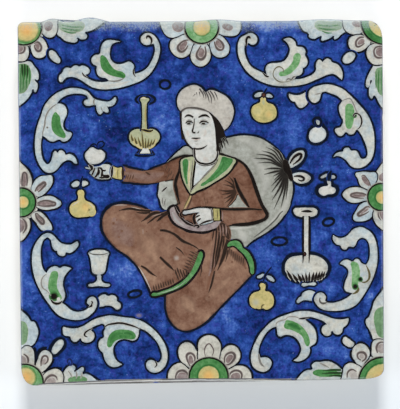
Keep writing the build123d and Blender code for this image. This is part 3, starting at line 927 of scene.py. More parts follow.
# %% Right middle flower
petal([(386, 160), (381.5, 164.5), (378.5, 168.5), (376.3, 172.5), (375, 178), (376, 186), (386, 188)], 1,
    shade=[(390, 172), (380, 174), (379, 180), (390, 182)], tint=0.6, show=2.5)
petal([(355.7, 173.3), (359, 172.3), (364, 171.8), (370, 172.3), (376, 173), (377, 179), (373, 186),
    (368.5, 191), (364, 188.7), (360, 184.7), (358, 179)], 3,
    loop=[(361.3, 176.5), (363.5, 175.3), (366.8, 178.3), (369.5, 182.5), (371, 186.5)],
    shade=[(361.5, 177), (364.5, 176), (368, 180.5), (370, 186), (366, 185), (362.5, 181)],
    tint=-0.2, loop_width=0.9, show=2.5)
petal([(342.6, 194.5), (344.5, 191.3), (348, 188.7), (354, 187.3), (360, 187.7), (366, 190), (371, 193),
    (371, 198), (362, 201.3), (356, 202.7), (350, 202), (346, 199.2)], 5,
    loop=[(369, 197.2), (365, 194.3), (359, 193), (354, 193.3), (350.8, 195.2), (353, 196.8), (358, 197.9),
      (364, 198.3)],
    shade=[(352, 195.3), (358, 194), (366, 195.5), (360, 197.3)], tint=0.1, loop_width=1.5, show=2.5)
petal([(353.3, 217), (355, 213), (357, 209.5), (359, 206), (363, 203), (367, 201.7), (372, 203), (376, 208),
    (373.3, 213), (371.3, 217), (367, 220), (360, 221.4), (354.3, 220.3)], 3,
    loop=[(373, 208), (367, 206.8), (363, 209.7), (360, 212), (358, 215), (363, 214.7), (369, 211.5)],
    shade=[(360, 213.5), (364, 210), (369, 208), (366, 212)], tint=-0.2, show=2.5)
petal([(390, 232), (384.5, 230.5), (379, 227), (375, 222), (373.3, 217), (373.7, 212), (376, 208),
    (390, 207)], 5,
    loop=[(378.2, 210.5), (378.5, 216), (381.2, 220.5)],
    shade=[(379.5, 211), (379.8, 216), (382.5, 220), (390, 220), (390, 211)],
    tint=0.5, loop_width=1.2, show=2.5)
heart(381.2, 197, 12.9, 6.8, core_place=(382.3, 197.4))

# %% Bottom left flower
petal([(15, 350), (22, 348.7), (25, 346.3), (30, 346.7), (33.2, 350), (34.2, 356), (34.2, 362), (33, 368),
    (15, 368)], 3,
    loop=[(23.5, 354), (27.3, 357), (28.2, 361), (27, 366)],
    shade=[(15, 355), (24, 356), (27, 361), (26, 366), (15, 366)],
    tint=0.4, show=4.4, loop_width=1.6, shade_strength=0.65)
petal([(36, 369), (38.3, 358), (41, 352.3), (45, 350.2), (49.7, 352.3), (52.2, 357), (51.2, 362),
    (47.5, 367.2), (43, 371.5), (39, 373)], 5,
    loop=[(41, 366), (41.5, 360), (44, 356), (47.3, 357), (47.5, 361), (44.5, 364.5)],
    shade=[(42, 365), (43, 359), (46, 357.5), (46.5, 361)], tint=0.3, show=4.4, shade_strength=0.6)
petal([(42, 378), (46, 372.5), (51, 369.8), (56, 368.8), (60.7, 371), (63.2, 375.5), (63, 381), (61, 392),
    (42, 392)], 7,
    loop=[(44, 384), (45.5, 380), (48, 377), (52, 375.3), (56.3, 377), (57.3, 380)],
    shade=[(46, 382), (49, 378), (53, 377), (56, 380), (55, 390), (46, 390)],
    tint=0.4, show=4.4, shade_strength=0.6)
heart(25, 382.5, 17.6, 11.5, coat=10, core_place=(25.5, 377.5), green=1.3, melting=7.5, glow=1.0)
motif([(52, 349), (54, 345), (58, 340.5), (62, 339.8), (63.7, 342.5), (62.2, 347), (58.5, 351.5),
    (54.5, 354.2), (52, 352.3)], 1.4, tint=0.2, show=4.4)
motif([
    (15, 307), (20, 310), (24, 313), (28, 317), (31.5, 321.5), (34, 321.7), (36.5, 326), (38.2, 331),
    (37.2, 337), (34.5, 343), (31, 346), (15, 350),
], 1, tint=-0.3)
leaf_green([(15, 321), (25, 322), (28, 328), (28, 336), (25, 344), (15, 345)], 3, soft=2.0, strength=0.8)
motif([
    (58, 392), (62, 375), (64, 371.7), (66, 368.7), (70, 365.8), (74.3, 366), (75.3, 369), (74, 371.5),
    (78, 369.8), (83, 367.3), (83.7, 370), (82, 373.8), (86, 373.8), (91, 375.8), (96, 379.7), (103, 384),
    (110, 392),
], 1, tint=-0.1)
leaf_green([(67.5, 380), (69.5, 377.3), (76, 376), (83.5, 376.4), (87.5, 379), (86, 382.6), (79, 384.3),
    (70.5, 383.6)], 3, soft=2.0, strength=0.9)
for start, stop in (((68, 371), (72, 378)), ((76, 371), (76, 379)), ((82, 372), (80, 379))):
    ink(bow(start, stop, across=0.8), 0.9, strength=0.6)
ink([(68.6, 364), (67.4, 361.4), (68.8, 359), (71.3, 360.2), (71.8, 363.3), (70.2, 365.4), (69.3, 362)],
    1.1, 2, beneath=BLUE, strength=0.75)

# %% Bottom middle flower
petal([(168, 392), (168, 379), (168.5, 373), (171, 368), (176, 364), (181, 363), (187, 365), (193, 369),
    (194, 392)], 1,
    loop=[(176, 383), (176.5, 374), (180.5, 370.7), (186, 372), (188.5, 377)],
    shade=[(177, 381), (178, 374), (182, 372), (187, 374), (188, 381)], tint=1.3, show=3.0)
petal([(181, 361), (178.7, 355), (178.7, 349), (182, 344), (187, 342.3), (192, 344.3), (196, 350),
    (199.5, 356), (200.5, 362), (197, 366), (190, 368), (186, 365)], 3,
    loop=[(190, 366), (187, 359), (187.3, 354.5), (191, 353.3), (194.7, 357), (194.5, 362)],
    shade=[(189.5, 364), (188.3, 358), (190.5, 355), (193.3, 358.5), (193.3, 363)], tint=1.3, show=3.0)
petal([(226, 384), (228, 371), (230, 368.3), (234, 366.5), (239, 365.7), (245, 366.7), (249, 370),
    (251.2, 375), (251, 382), (250, 392), (228, 392)], 1,
    loop=[(229.5, 382), (229.7, 374.5), (233, 371.3), (238, 370.7), (241.2, 373), (241.7, 377),
      (239.5, 380.5)],
    shade=[(231, 381), (231, 375), (235, 372.5), (239, 373), (240.5, 377.5), (238, 381)],
    tint=1.3, show=3.0)
petal([(219.5, 361), (221, 353), (223.5, 349), (228, 345.8), (232, 345.3), (236.3, 347), (239.2, 351),
    (240.3, 355), (239, 360), (236, 363.7), (231, 367), (225, 369)], 3,
    loop=[(224.5, 363), (225, 356.5), (229, 353), (233, 353), (234.8, 356), (232.8, 361), (229, 364.3),
      (226, 365)],
    shade=[(225.7, 362), (226.5, 357), (230, 354.3), (233.3, 355.5), (231.5, 360.5), (228, 363.5)],
    tint=1.3, show=3.0)
petal([(199, 361), (198.3, 350), (198.7, 342), (202, 337.7), (207, 335.5), (213, 336), (217.7, 339.7),
    (220.6, 345), (220.6, 350), (219.5, 356), (218, 363), (208, 366)], 5,
    loop=[(205.5, 357), (204.5, 350.5), (206, 346), (209, 343.8), (212, 346.7), (213.7, 351), (212, 356)],
    tint=1.3, show=3.0, loop_width=0.9)
heart(208.7, 377.3, 18.9, 10.8, core_place=(208.7, 376.3), glow=0.9)

# %% Bottom right flower
petal([(390, 338), (383, 339.7), (379, 339.3), (374, 340.5), (372.3, 343.5), (371.8, 350), (372.3, 356),
    (377, 358), (390, 358)], 3,
    loop=[(377.5, 353), (376.6, 347), (379.5, 342.7), (385, 342.5)],
    shade=[(378, 352), (378, 346), (381, 343.5), (390, 343.5), (390, 353)],
    tint=0.5, show=3.0, shade_strength=0.6)
petal([(352, 352.3), (354, 347), (359, 343.8), (364, 344.3), (368, 348), (369.7, 353), (368.3, 358),
    (365, 362), (362, 366.5), (358, 365), (354.7, 360.5), (352.3, 356.5)], 5,
    loop=[(362, 361.5), (365.7, 358.3), (365.3, 354), (361, 352.3), (357.7, 354), (358, 357.8),
      (361, 360.3)],
    shade=[(360, 358.5), (359, 355), (362, 353.5), (364.3, 355.5), (363, 359)],
    tint=0.2, show=3.0, shade_strength=0.5)
petal([(343, 372), (344, 367), (347, 364), (351, 362.8), (356, 364.5), (361, 367.5), (362, 375), (360, 386),
    (343, 386)], 7,
    loop=[(347, 378), (348, 372), (352, 369.5), (356.5, 371.5)],
    shade=[(349, 376), (350, 371.5), (354, 370.5), (357.5, 373.5), (356, 380)],
    tint=0.4, show=2.2, shade_strength=0.35, loop_width=1.2)
heart(383, 381.5, 23.6, 18, coat=10, green=0.3, glow=0.9)
motif([(343, 339), (345, 336.8), (348, 338.3), (352, 341.3), (354.2, 343.5), (352.7, 346.5), (350, 347.2),
    (346, 345.5), (343, 342.5)], 1.4)
motif([
    (292, 388), (302, 373.5), (307, 370.3), (312.5, 369), (311.8, 365.5), (315, 362.3), (320, 362),
    (325, 361.3), (330, 361.7), (335, 364), (340, 368), (346, 374), (346, 388),
], 1, tint=0.3)
leaf_green([(312.5, 373), (315, 370), (322, 369.3), (330, 369.8), (338, 371.5), (341, 373.5), (336, 376.2),
    (326, 377.2), (317, 376.2)], 3, soft=1.6)
for start, stop in (((323, 370.6), (341, 370)), ((322, 373.6), (342.5, 373)), ((329, 376), (341, 375.8))):
    ink(bow(start, stop, down=-0.3), 1.1, strength=0.9, beneath=GREEN, ends=(0.3, 1.0))
ink([(319.5, 362.8), (324, 365), (329, 367.6)], 1.0, strength=0.6)
motif([
    (390, 284), (384, 288.5), (381, 292.3), (377, 297.3), (374, 302.3), (372.7, 307), (371, 312),
    (369, 317), (366, 320), (366.5, 325), (369, 329), (371.5, 334), (374, 340), (390, 342),
], 1, tint=0.2)
leaf_green([(390, 306), (380, 307), (375, 311), (373.5, 319), (375, 328), (379, 337), (390, 339)], 3,
    soft=2.2, strength=0.85)

# %% [markdown]
# ## Vessels and fruit
#
# Between scrolls and figure float bottles, a goblet and single fruits. Each has an outline and a wash,
# and a few strokes that give it ribs, stalks and leaves.

# %% The yellow bottle
line("blue_black", [(135.8, 99.8), (139, 96.4), (145.5, 95.2), (152, 96.4), (155, 99.8), (151.5, 102.8),
    (145.5, 103.8), (139, 102.8)], 3.6, 1, closed=True)
wash("blue_black", [(137, 99.8), (141, 97), (150, 97), (153.5, 99.8), (150, 102.3), (141, 102.3)], 1.5,
    strength=0.6, soft=0.6, beneath=BLUE)
motif([
    (141, 149.2), (137.5, 146.8), (133.5, 145), (130.5, 142), (129.3, 138), (129.7, 134), (132, 131),
    (136, 129.3), (141, 129), (145, 129.8), (149, 129), (153.5, 129.3), (157.5, 131.8), (159.5, 135),
    (159.3, 139), (157, 142.5), (153.5, 145.2), (149.5, 147.5), (146.5, 149),
], 1, pigment="pale_celadon", tint=0.6)
motif([(143.2, 148, SHARP), (148, 148, SHARP), (150.6, 153.4, SHARP), (139.8, 153.5, SHARP)], 2.5, show=2.6,
    tint=0.4)
fruit_light([(132, 139), (138, 145), (145, 147), (152, 145), (157, 139)], 5, strength=0.35)
motif([(140.4, 99), (143, 98), (146, 98), (149, 99), (147, 103), (146.3, 110), (146.3, 120),
    (146.8, 129.3, SHARP), (141.9, 129.3, SHARP), (142.3, 120), (142.2, 110), (141.7, 103)], 4,
    pigment="pale_celadon", show=2.4, tint=0.2)
blush("white_touch", [(140.5, 98.8), (143.5, 98.2), (147, 98.8)], 2.2, coat=7, strength=0.7, beneath=YELLOW)
blush("olive_line", [(145.7, 104), (145.3, 115), (145.7, 128)], 1.8, coat=6, strength=0.5, beneath=YELLOW)
for low_x, high_x, top_y, low_y in (
    (133, 131, 134, 141), (137, 134.5, 137, 144), (141.3, 138, 137, 146.5), (143.4, 141.8, 131, 148),
    (145.6, 145.6, 138, 148.5), (147.5, 148.8, 138, 147.5), (149.5, 152, 139, 146.5),
    (152, 155, 139, 144.5),
):
    rib = bow((high_x, top_y), (low_x, low_y), down=1)
    ink(rib, 1.3, 6, beneath=YELLOW, ends=(0.2, 0.9), strength=0.85)
ink([(141, 129.5), (145, 130.3), (150, 131.2), (153, 130)], 1.6, 6, beneath=YELLOW)
ink([(135.5, 154.8), (138.5, 152.3), (141, 148.5)], 2.4, 1, beneath=BLUE)
line("blue_black", [(134.5, 155.2), (140, 155.2), (148, 155.4), (155, 154.6)], 4.4, 2)
ink([(149.5, 149.5), (151.5, 152), (155, 154.5)], 2.4, 1, beneath=BLUE)

# %% The white bottle
NECK = [(303.7, 216, SHARP), (308.9, 216, SHARP), (309, 256, SHARP), (303.7, 256, SHARP)]
motif(NECK, 1, tint=0.7, show=3.6)
motif([
    (285, 268), (285.3, 264), (287.5, 260), (291, 257.3), (296, 256), (303, 255.3), (312, 255),
    (319, 256.7), (324, 260), (327.2, 264.3), (327.8, 268.5), (326, 273.3), (322, 277.3), (316, 280.2),
    (308, 281.3), (300, 281), (293, 279), (287.5, 274.5), (285.3, 271),
], 3, show=4.8, tint=0.5)
for top_x, top_y, low_x, low_y, width in (
    (286.6, 270, 292, 279.3, 2.0), (292.3, 273.5, 297.5, 280.8, 2.0), (297.6, 273.5, 301.8, 281.2, 2.2),
    (301.6, 273.5, 304.6, 281.3, 1.6), (305.6, 272.5, 307, 281.3, 1.8), (309.4, 272, 309.2, 281.3, 1.8),
    (313.8, 272, 312, 281.2, 2.0), (316.9, 271.7, 314.8, 280.8, 2.4), (319.8, 271.5, 317.6, 280.2, 2.4),
    (322.6, 271.2, 320, 279.5, 2.2), (325, 271, 322.5, 277.5, 1.6),
):
    ink(bow((top_x, top_y), (low_x, low_y), down=0.4), width, 6, ends=(0.15, 1.0))
ink([(314, 279.5), (319, 278.6), (323.5, 275.5)], 2.2, 6, ends=(0.4, 0.4), strength=0.9)
wash("white_slip", NECK, 8, tint=0.7)
for x in (303.2, 309.3):
    ink([(x, 216), (x, 230), (x, 245), (x, 256), (x - 0.3, 263)], 1.0, 9, ends=(0.9, 0.2), beneath=INK)
dab("deep_brown", 304.2, 254, 2.4, 9, strength=0.7, beneath=INK)
motif([(294, 208.9), (300, 207.8), (309, 207.7), (316.3, 209), (317.5, 212), (315.5, 215.5), (307, 216.6),
    (298, 216.3), (294, 213)], 4, tint=1.1, show=3.6)
ink([(301.2, 211.7), (304, 211.3), (309, 211.3), (312.5, 211.8)], 1.9, 7, ends=(0.3, 0.3))
blush("manganese_purple", [(300, 213.5), (307, 214.2), (313, 213.5)], 2.6, coat=6, strength=0.35)
motif([(302, 283.8), (308, 283.4), (315.8, 282.9), (316, 284.5), (309, 285.2), (302, 285.8)], 4, show=2.4)

# %% The goblet
motif([
    (88.5, 253), (92, 250.8), (99, 249.8), (106, 250.8), (109, 253), (108, 256), (107, 261), (105.8, 267),
    (105, 271.3), (102, 274), (97, 274.5), (92.6, 272.5), (91.6, 268), (90.8, 261), (89.5, 256),
], 1, tint=0.3)
line("line_black", [(88.5, 252.5), (92, 254), (98, 254.6), (104, 254.2), (109, 252.5)], 1.4, 4,
    strength=0.9)
motif([(97.5, 275), (100.5, 275), (101.3, 280), (104, 283), (110, 285), (109, 286.3), (99, 286),
    (89, 286.3), (88.3, 285.3), (94, 283), (97, 280)], 1, show=2.8)

# %% The fruits
motif([
    (77.5, 192), (79.3, 190), (82.5, 190), (84.2, 193), (84, 197), (85.5, 200.3), (91, 203), (95, 207.3),
    (94.2, 212), (90.5, 215.7), (83, 217), (75.5, 216.9), (71.3, 214), (69.7, 210), (70.2, 206),
    (73, 202.6), (77.3, 200.5), (78.3, 197),
], 1, pigment="ochre_yellow", tint=-0.1)
dab("warm_ochre", 85.5, 207, 6, 3, strength=0.45, beneath=YELLOW)
dab("pale_celadon", 91.5, 212, 4.5, 3, strength=0.5, beneath=YELLOW)
dab("pale_celadon", 74.5, 210, 4.5, 3, strength=0.3, beneath=YELLOW)
fruit_light([(72, 206), (76, 203), (79, 201)], 2.6, strength=0.7)
fruit_light([(88, 203), (92, 205.5), (93.8, 209)], 2.6, strength=0.6)
motif([(71.5, 185.5), (74, 182), (77.5, 181), (79.5, 182.5), (78.5, 185.5), (75, 187)], 1, show=2.9)
motif([(81, 182.5), (84, 180.7), (87, 181.7), (88.2, 183.8), (86, 185.2), (82.5, 186.3)], 1, show=2.9)
line("blue_black", [(80.8, 190), (80.8, 185), (81.3, 180), (83, 176)], 2.6, 3)
motif([
    (260.7, 98), (265.3, 97.7), (266.2, 101), (268.5, 103), (272.5, 104.3), (275.3, 107.5), (276.6, 112),
    (275.7, 117), (272, 120.3), (267, 122.2), (261, 122.2), (255.5, 119.8), (252.2, 115.3), (251.5, 110),
    (253.2, 106), (257, 103.8), (260.3, 101.8),
], 1, pigment="ochre_yellow", tint=-0.5)
blush("pale_celadon", [(263.3, 99.5), (263.4, 102.5), (264, 105)], 4, coat=3, strength=0.8, beneath=YELLOW)
dab("warm_ochre", 269, 114.5, 4.5, 3, strength=0.3, beneath=YELLOW)
dab("pale_celadon", 257.5, 111, 5, 3, strength=0.3, beneath=YELLOW)
motif([(254.5, 96.3), (256, 93.7), (259.5, 92.3), (263.5, 93.3), (261, 96), (257.5, 97)], 1, show=2.9)
motif([(265.5, 95.3), (268.5, 93.8), (271.7, 95.3), (272.5, 97), (269.5, 97.4), (266.5, 96.8)], 1, show=2.9)
line("blue_black", [(263.5, 98), (264, 94.5), (265.2, 91), (267, 88)], 2.8, 3)
dab("deep_brown", 263.8, 95, 2.6, 4, beneath=INK)
motif([
    (260, 284), (264.7, 284), (265.6, 287), (265, 290.8), (269, 291.8), (272.3, 295), (273.8, 300),
    (273.2, 305), (270, 308.3), (266, 309.6), (262.5, 308), (259.5, 309), (255, 307.7), (251, 304.7),
    (249.5, 300.5), (250.5, 296), (254, 292.7), (258.3, 291.3), (260.7, 289.5),
], 1, pigment="ochre_yellow", tint=-0.2)
dab("grey_wash", 255.8, 302.5, 6, 3, strength=0.6, beneath=YELLOW)
ink([(261.5, 308.7), (262.3, 305.5), (264.5, 304.5)], 1.2, 4, beneath=YELLOW, strength=0.8)
motif([(257, 277.3), (260, 275), (264, 274.3), (262.5, 276.8), (259, 278.3)], 1, show=2.9, tint=-0.3)
motif([(266.5, 276.3), (270, 275.8), (273.5, 278.7), (274.2, 281.3), (271, 280.8), (268, 278.8)], 1,
    show=2.9, tint=-0.2)
line("blue_black", [(263.3, 283), (265, 276), (268, 271.5), (271.5, 266.8)], 2.6, 3)
motif([(309.2, 134.5), (310.3, 131), (313, 128.3), (316, 126.8), (318, 125), (320.5, 124.8), (322, 127),
    (325, 130), (326.2, 134), (325, 138), (322, 140.7), (318.5, 142.3), (313, 142.3), (310, 140),
    (309, 137)], 1, tint=0.0, show=3.8, pigment="clean_white")
motif([(316.3, 120.3), (318.2, 120), (319.7, 123), (318.3, 124.8), (316.2, 122.3)], 2, show=2.9)
line("blue_black", [(316, 126.5), (313.7, 123.5), (313.5, 120.2), (316, 118), (319, 118.3), (321.3, 121),
    (321, 124.5)], 4.0, 3)
motif([
    (327, 180.3), (330, 180.7), (331, 184), (331.2, 186.3), (335, 188.3), (335.7, 191), (333.3, 193.7),
    (329.3, 194.2), (327.5, 194.4), (325, 195.6), (321, 194.7), (318.8, 191.3), (320, 188), (324, 186.3),
    (328, 185.3), (327.3, 182.3),
], 1, show=4.6, tint=0.5, pigment="clean_white")
motif([(320.7, 177.5), (323.5, 175.2), (327.5, 173.8), (328.3, 175), (325.3, 177), (322, 178.3)], 1,
    show=3.8, tint=0.3)
motif([(330.8, 176.3), (333.7, 175.3), (335.3, 177), (333.3, 178.7), (331, 177.8)], 1, show=3.8, tint=0.2)
line("blue_black", [(328.7, 181), (329.3, 175.5), (331.2, 170.5)], 4.8, 3, ends=(0.8, 0.4))
for x, y, wide, tall, tilt in (
    (165, 84.5, 5.3, 4.3, 2), (134.7, 294, 6.7, 3.3, 12), (279.4, 241.3, 7.6, 4, 2),
    (328.5, 222, 5.6, 3.6, 14),
):
    lean = radians(tilt)
    oval = []
    for step in range(10):
        along, across = wide * cos(step * pi / 5), tall * sin(step * pi / 5)
        column = x + along * cos(lean) + across * sin(lean)
        row = y - along * sin(lean) + across * cos(lean)
        oval.append((column, row))
    line("blue_black", oval, 3.4, 1, closed=True)

# %% [markdown]
# ## The cushion
#
# A big round bolster leans behind the figure. All its pleats run to one tied knot on the right, so its
# lines are written as far ends only, and each is pulled from there to the knot with growing pressure.

# %% Cushion, pleats and knot
motif([
    (208, 160), (214, 145), (225, 139), (230, 137.5), (236, 136.2), (243, 135.5), (250, 135.9),
    (257, 137.2), (263, 139.5), (269, 143.2), (275, 147.7), (280, 152.7), (283, 157), (285.5, 161.5),
    (288.5, 167), (290.5, 173), (291.5, 179), (292.6, 185), (292.7, 191), (291.5, 198), (289.5, 204.7),
    (286.5, 211.3), (282.7, 217.3), (278.3, 222.7), (272, 228.2), (265, 233.2), (258, 237.2), (252, 241),
    (248.3, 244.2), (245, 247.7, SHARP), (236, 250), (222, 240), (205, 225), (205, 190),
], 1, tint=0.15, pigment="cushion_grey")
motif([(168, 168), (167.5, 163), (170.5, 159), (174.5, 154.8), (180, 150), (185.5, 146.3), (190, 147.5),
    (194, 152), (197, 160), (185, 170)], 1, tint=0.3, show=2.4, pigment="cushion_grey")
motif([(161, 178), (159.3, 184), (158.7, 190), (158, 195), (160, 200), (161, 204.5), (163, 208.3),
    (166, 210), (171, 210), (182, 208), (185, 190), (175, 178)], 1, tint=0.7, pigment="cushion_grey")
KNOT = (287.5, 169.5)
PLEATS = [  # far end, bend, width
    ((266, 147), (275, 152), 0.8), ((273, 148), (279.5, 153.5), 1.3), ((261.5, 150.7), (273, 154.5), 1.0),
    ((256.5, 154), (270, 156.5), 1.0), ((253.5, 158.3), (270, 159.7), 1.1), ((257, 163), (271, 162.7), 0.8),
    ((264, 169.2), (275, 168.3), 1.1), ((264, 174.5), (275, 171.7), 1.2), ((273, 176.3), (279, 173.3), 1.2),
    ((274, 180.3), (280, 174.8), 1.2), ((271, 186.3), (278.5, 178.7), 1.1),
    ((271.5, 192.3), (279.5, 181.5), 1.2), ((272, 200.3), (280.5, 186.5), 1.3),
    ((274, 209.3), (282.3, 190), 1.3), ((281, 208), (284.8, 191), 1.2), ((286, 199.5), (287.3, 186), 1.3),
    ((270, 145.5), (278.5, 151.3), 0.7),
]
for far, bend, width in PLEATS:
    near = (KNOT[0] + (far[0] - KNOT[0]) * 0.06, KNOT[1] + (far[1] - KNOT[1]) * 0.06)
    turn = (bend[0] * 0.6 + near[0] * 0.4, bend[1] * 0.6 + near[1] * 0.4)
    ink([far, bend, turn, near], width * 1.2, 7, ends=(0.12, 1.0), strength=0.97, beneath=CUSHION)
ink([(283, 211), (280, 213.5), (277, 218), (271.5, 223.7), (265, 229.2), (259, 233.7), (254, 237.3)], 1.0,
    4, strength=0.75, beneath=CUSHION)
wash("line_black", [
    (283.3, 160), (286, 159.5), (288.7, 163), (290.5, 168), (292.3, 174), (292.3, 181), (289.5, 180),
    (287, 175), (283.5, 171), (282.5, 165),
], 9, soft=1.4, beneath=srgb(60, 57, 52))
motif([
    (288.5, 163.5), (289.5, 159), (292, 155), (296, 151.8), (300, 150.5), (303.5, 151), (304.5, 154),
    (303.3, 158.5), (300, 162.7), (295.5, 165.8), (291, 167.7), (289, 167),
], 1, show=4.6, tint=0.2)
line("line_black", [(290, 163.5), (293, 158.5), (297, 155), (301, 154.3), (301, 157), (297.5, 161.3),
    (293, 164.5)], 4.0, 4)
motif([(291.5, 175), (295, 173), (300, 172.3), (305, 173), (309, 175.3), (310.8, 178), (309, 181),
    (305, 183), (299, 183.3), (294.5, 181), (292, 178)], 1, show=4.0)
line("line_black", [(294, 176.3), (298, 176), (302, 176.8), (304, 179), (301.5, 180.8), (298, 179.5)], 3.4,
    4)
cushion_light([(238, 139), (252, 143), (264, 152), (270, 160)], 11, strength=0.3)
cushion_light([(252, 158), (262, 168), (266, 182), (262, 196)], 15, strength=0.3)
cushion_light([(288, 188), (286, 204), (278, 216), (268, 225)], 8, strength=0.5)
cushion_light([(238, 230), (243, 236), (246, 241)], 15, strength=0.4)
cushion_light([(231, 229), (242, 227.5), (256, 226)], 6, strength=0.6)
blush("grey_wash", [(222, 143), (224, 148), (228, 152)], 6, coat=3, strength=0.3, beneath=CUSHION)
ink([(162, 191.5), (164.5, 189.2), (167, 187)], 1.4, 4)
ink([(163, 197), (162.3, 201), (163.5, 206)], 1.0, 4, strength=0.7)
ink([(165.5, 199), (164.7, 203), (165.3, 207.5)], 1.0, 4, strength=0.7)

# %% [markdown]
# ## The robe
#
# The brown robe is one outline from the cuff over the shoulder and down to the hems. Its folds are long
# strokes in a darker brown, and short hatching gathers at the armpits, the waist and the hems.

# %% Robe
ROBE_LEFT = [  # from the throat along the stretched arm and down to the waist
    (194, 157), (190, 156.3), (185, 156.3), (180, 157.7), (175, 159.7), (170, 161.7), (167, 163.2),
    (160, 166.2), (153, 168.7), (147, 171.7), (140, 170.5), (130, 168.5), (122, 167.2), (121.5, 180),
    (130, 182), (140, 183.3), (150, 183.3), (158, 182.5), (165, 181), (171, 179.5), (175, 179, SHARP),
    (175.5, 184), (176.7, 190), (178, 197), (179.3, 203), (176, 206.3), (172, 209.3),
]
ROBE_SKIRT = [  # from there round the knees and the hems to the waist's other side
    (168, 212), (163, 213), (157, 213),
    (152, 212), (148, 210.5), (143, 208), (138, 206.3), (132, 205), (125, 204), (119, 204.2), (114, 205.2),
    (110, 207.7), (106, 211.3), (103.5, 216), (102.3, 222), (102.5, 226), (103.5, 231), (106, 236),
    (109, 240.3), (113, 245), (118, 249.5), (123, 252.7), (128, 256), (132, 259.7), (136, 264), (140, 270),
    (144, 276.5), (147, 283), (149.5, 289), (152, 293.7), (158, 295), (166, 294.5, SHARP), (166, 300),
    (166, 305), (166.7, 311), (168.5, 317), (171.5, 322), (176, 327), (182, 330.2), (188, 330.5),
    (195, 328.2), (202, 324.2), (207, 320.2), (212, 315.2), (218, 309.2), (222, 304.7), (228, 298.7),
    (234, 292.7), (240, 286.7), (245, 281.3), (249, 277.2), (253, 273.7, SHARP), (253.5, 268), (252.5, 262),
    (251, 257), (248.5, 253), (245.5, 250), (242.5, 247.5), (240.5, 244), (238, 241.5), (233, 241),
    (229, 242.5, SHARP), (228.5, 238), (228, 232),
]
ROBE_RIGHT = [  # and up round the bent arm to the shoulder
    (227.5, 226, SHARP), (232, 224.7), (240, 225), (248, 224.4), (256, 222.8), (262, 220.7), (265.7, 218.3),
    (266.9, 215), (265.2, 210.7), (263.5, 208.5), (261.5, 204), (259, 197.5), (256, 189), (253, 180.5),
    (250.5, 174), (247, 168), (243, 163.3), (238, 160.3), (232, 157.9), (226, 155.7), (220, 153.7),
    (214, 158), (205, 162),
]
WAIST = [(221, 222), (212, 226.5), (201, 229), (190, 228), (181, 224), (174, 218)]
robe = ROBE_LEFT + ROBE_SKIRT + ROBE_RIGHT
halo(robe, 6, 0.3, closed=True)
line("blue_black", ROBE_LEFT[6:18], 6.4, 5, ends=(0.7, 0.5))
line("blue_black", ROBE_LEFT[25:] + ROBE_SKIRT[:-2], 6.4, 5, ends=(0.7, 0.7))
line("blue_black", ROBE_SKIRT[2:22], 8.4, 5.1, ends=(0.5, 0.4))
wash("manganese_brown", ROBE_LEFT + WAIST[::-1] + ROBE_RIGHT, 6, tint=-0.55)
wash("manganese_brown", ROBE_SKIRT + WAIST, 6.3, tint=-0.1)
for width, points in (
    (1.7, [(150, 211), (141, 210.3), (136, 209.5), (130, 208.7), (124, 209.5), (119, 210.5)]),
    (1.9, [(160, 212.5), (156, 212.7), (152, 214), (148.5, 216.5), (145, 219.3), (141, 221.7)]),
    (1.6, [(167, 212.3), (160, 215), (155, 217.6), (151, 220.7), (147, 223.6)]),
    (1.8, [(168, 213.5), (162.5, 216.5), (159.5, 219.3), (156.5, 221.5)]),
    (1.4, [(150, 212.6), (143, 213), (136, 212.5)]),
    (1.9, [(160, 230.3), (164, 230.5), (168, 231.4), (172, 233), (176, 235.4), (180, 239), (184, 241.7),
      (190, 244.2), (196, 247.3), (200.5, 251)]),
    (1.7, [(160, 257), (165, 262), (170, 266.5), (174.5, 271)]),
    (1.5, [(141, 265.8), (146, 268.8), (151, 273), (157, 276.8)]),
    (0.9, [(176, 247.3), (181, 251), (184.5, 255.5)]),
):
    robe_fold(points, width, ends=(0.8, 0.15), strength=0.95)
robe_light([(114, 205.8), (120, 205), (127, 205.2)], 1.5, strength=0.5)
robe_light([(131, 207), (136, 208), (141, 209)], 1.6, strength=0.45)
robe_tone("white_touch", [(152, 216.5), (157, 214.8), (161, 213.7)], 1.2, coat=9, strength=0.4)
robe_tone("manganese_purple", [(113, 218), (118, 228), (127, 238), (132, 246)], 22, strength=0.3)
robe_tone("manganese_brown", [(139, 228), (146, 240), (153, 252), (156, 262)], 20, coat=7.2, strength=0.5,
    tint=1.5)
robe_tone("deep_brown", [(186, 234), (196, 240), (206, 246)], 15, coat=7.2, strength=0.4)
robe_tone("manganese_brown", [(182, 296), (188, 304), (194, 312)], 20, coat=7.2, strength=0.6, tint=1.9)
robe_tone("manganese_brown", [(206, 300), (218, 289), (230, 277)], 15, coat=7.2, strength=0.5, tint=1.7)
robe_light([(138.5, 266.5), (142.5, 273), (147, 281.5), (151.5, 291.5)], 1.6, strength=0.75)
robe_light([(143, 229), (143, 234)], 2.0, strength=0.5)
dab("white_touch", 176.5, 258, 3.6, 8, strength=0.4, beneath=BROWN)
for x, y, reach in (
    (113.5, 223.3, 1.8), (116.7, 220, 1.1), (122, 231, 1.3), (119, 237, 1.2), (128, 226, 1.0),
    (146.5, 231.5, 1.2), (205, 243, 1.5), (232, 262, 1.3), (176, 305, 1.2), (209, 297, 1.3),
    (193, 322, 1.3), (238, 283, 1.4),
):
    dab("deep_brown", x, y, reach, 8, strength=0.8, beneath=BROWN)
for x, y in (
    (175, 273), (177, 271), (178.5, 275), (180, 272.5), (181.5, 276), (183, 273.5), (184, 277),
    (176.5, 277), (186, 274),
):
    robe_fold([(x, y - 3.5), (x + 1, y), (x + 2.6, y + 3.6)], 1.2, strength=0.85)
line("line_black", [(229, 242.5), (228.5, 238), (228, 232), *ROBE_RIGHT[:-1]], 5.4, 5.3, beneath=CUSHION)
line("line_black", ROBE_LEFT[:7], 6.0, 5.3, beneath=CUSHION, ends=(0.8, 0.3))
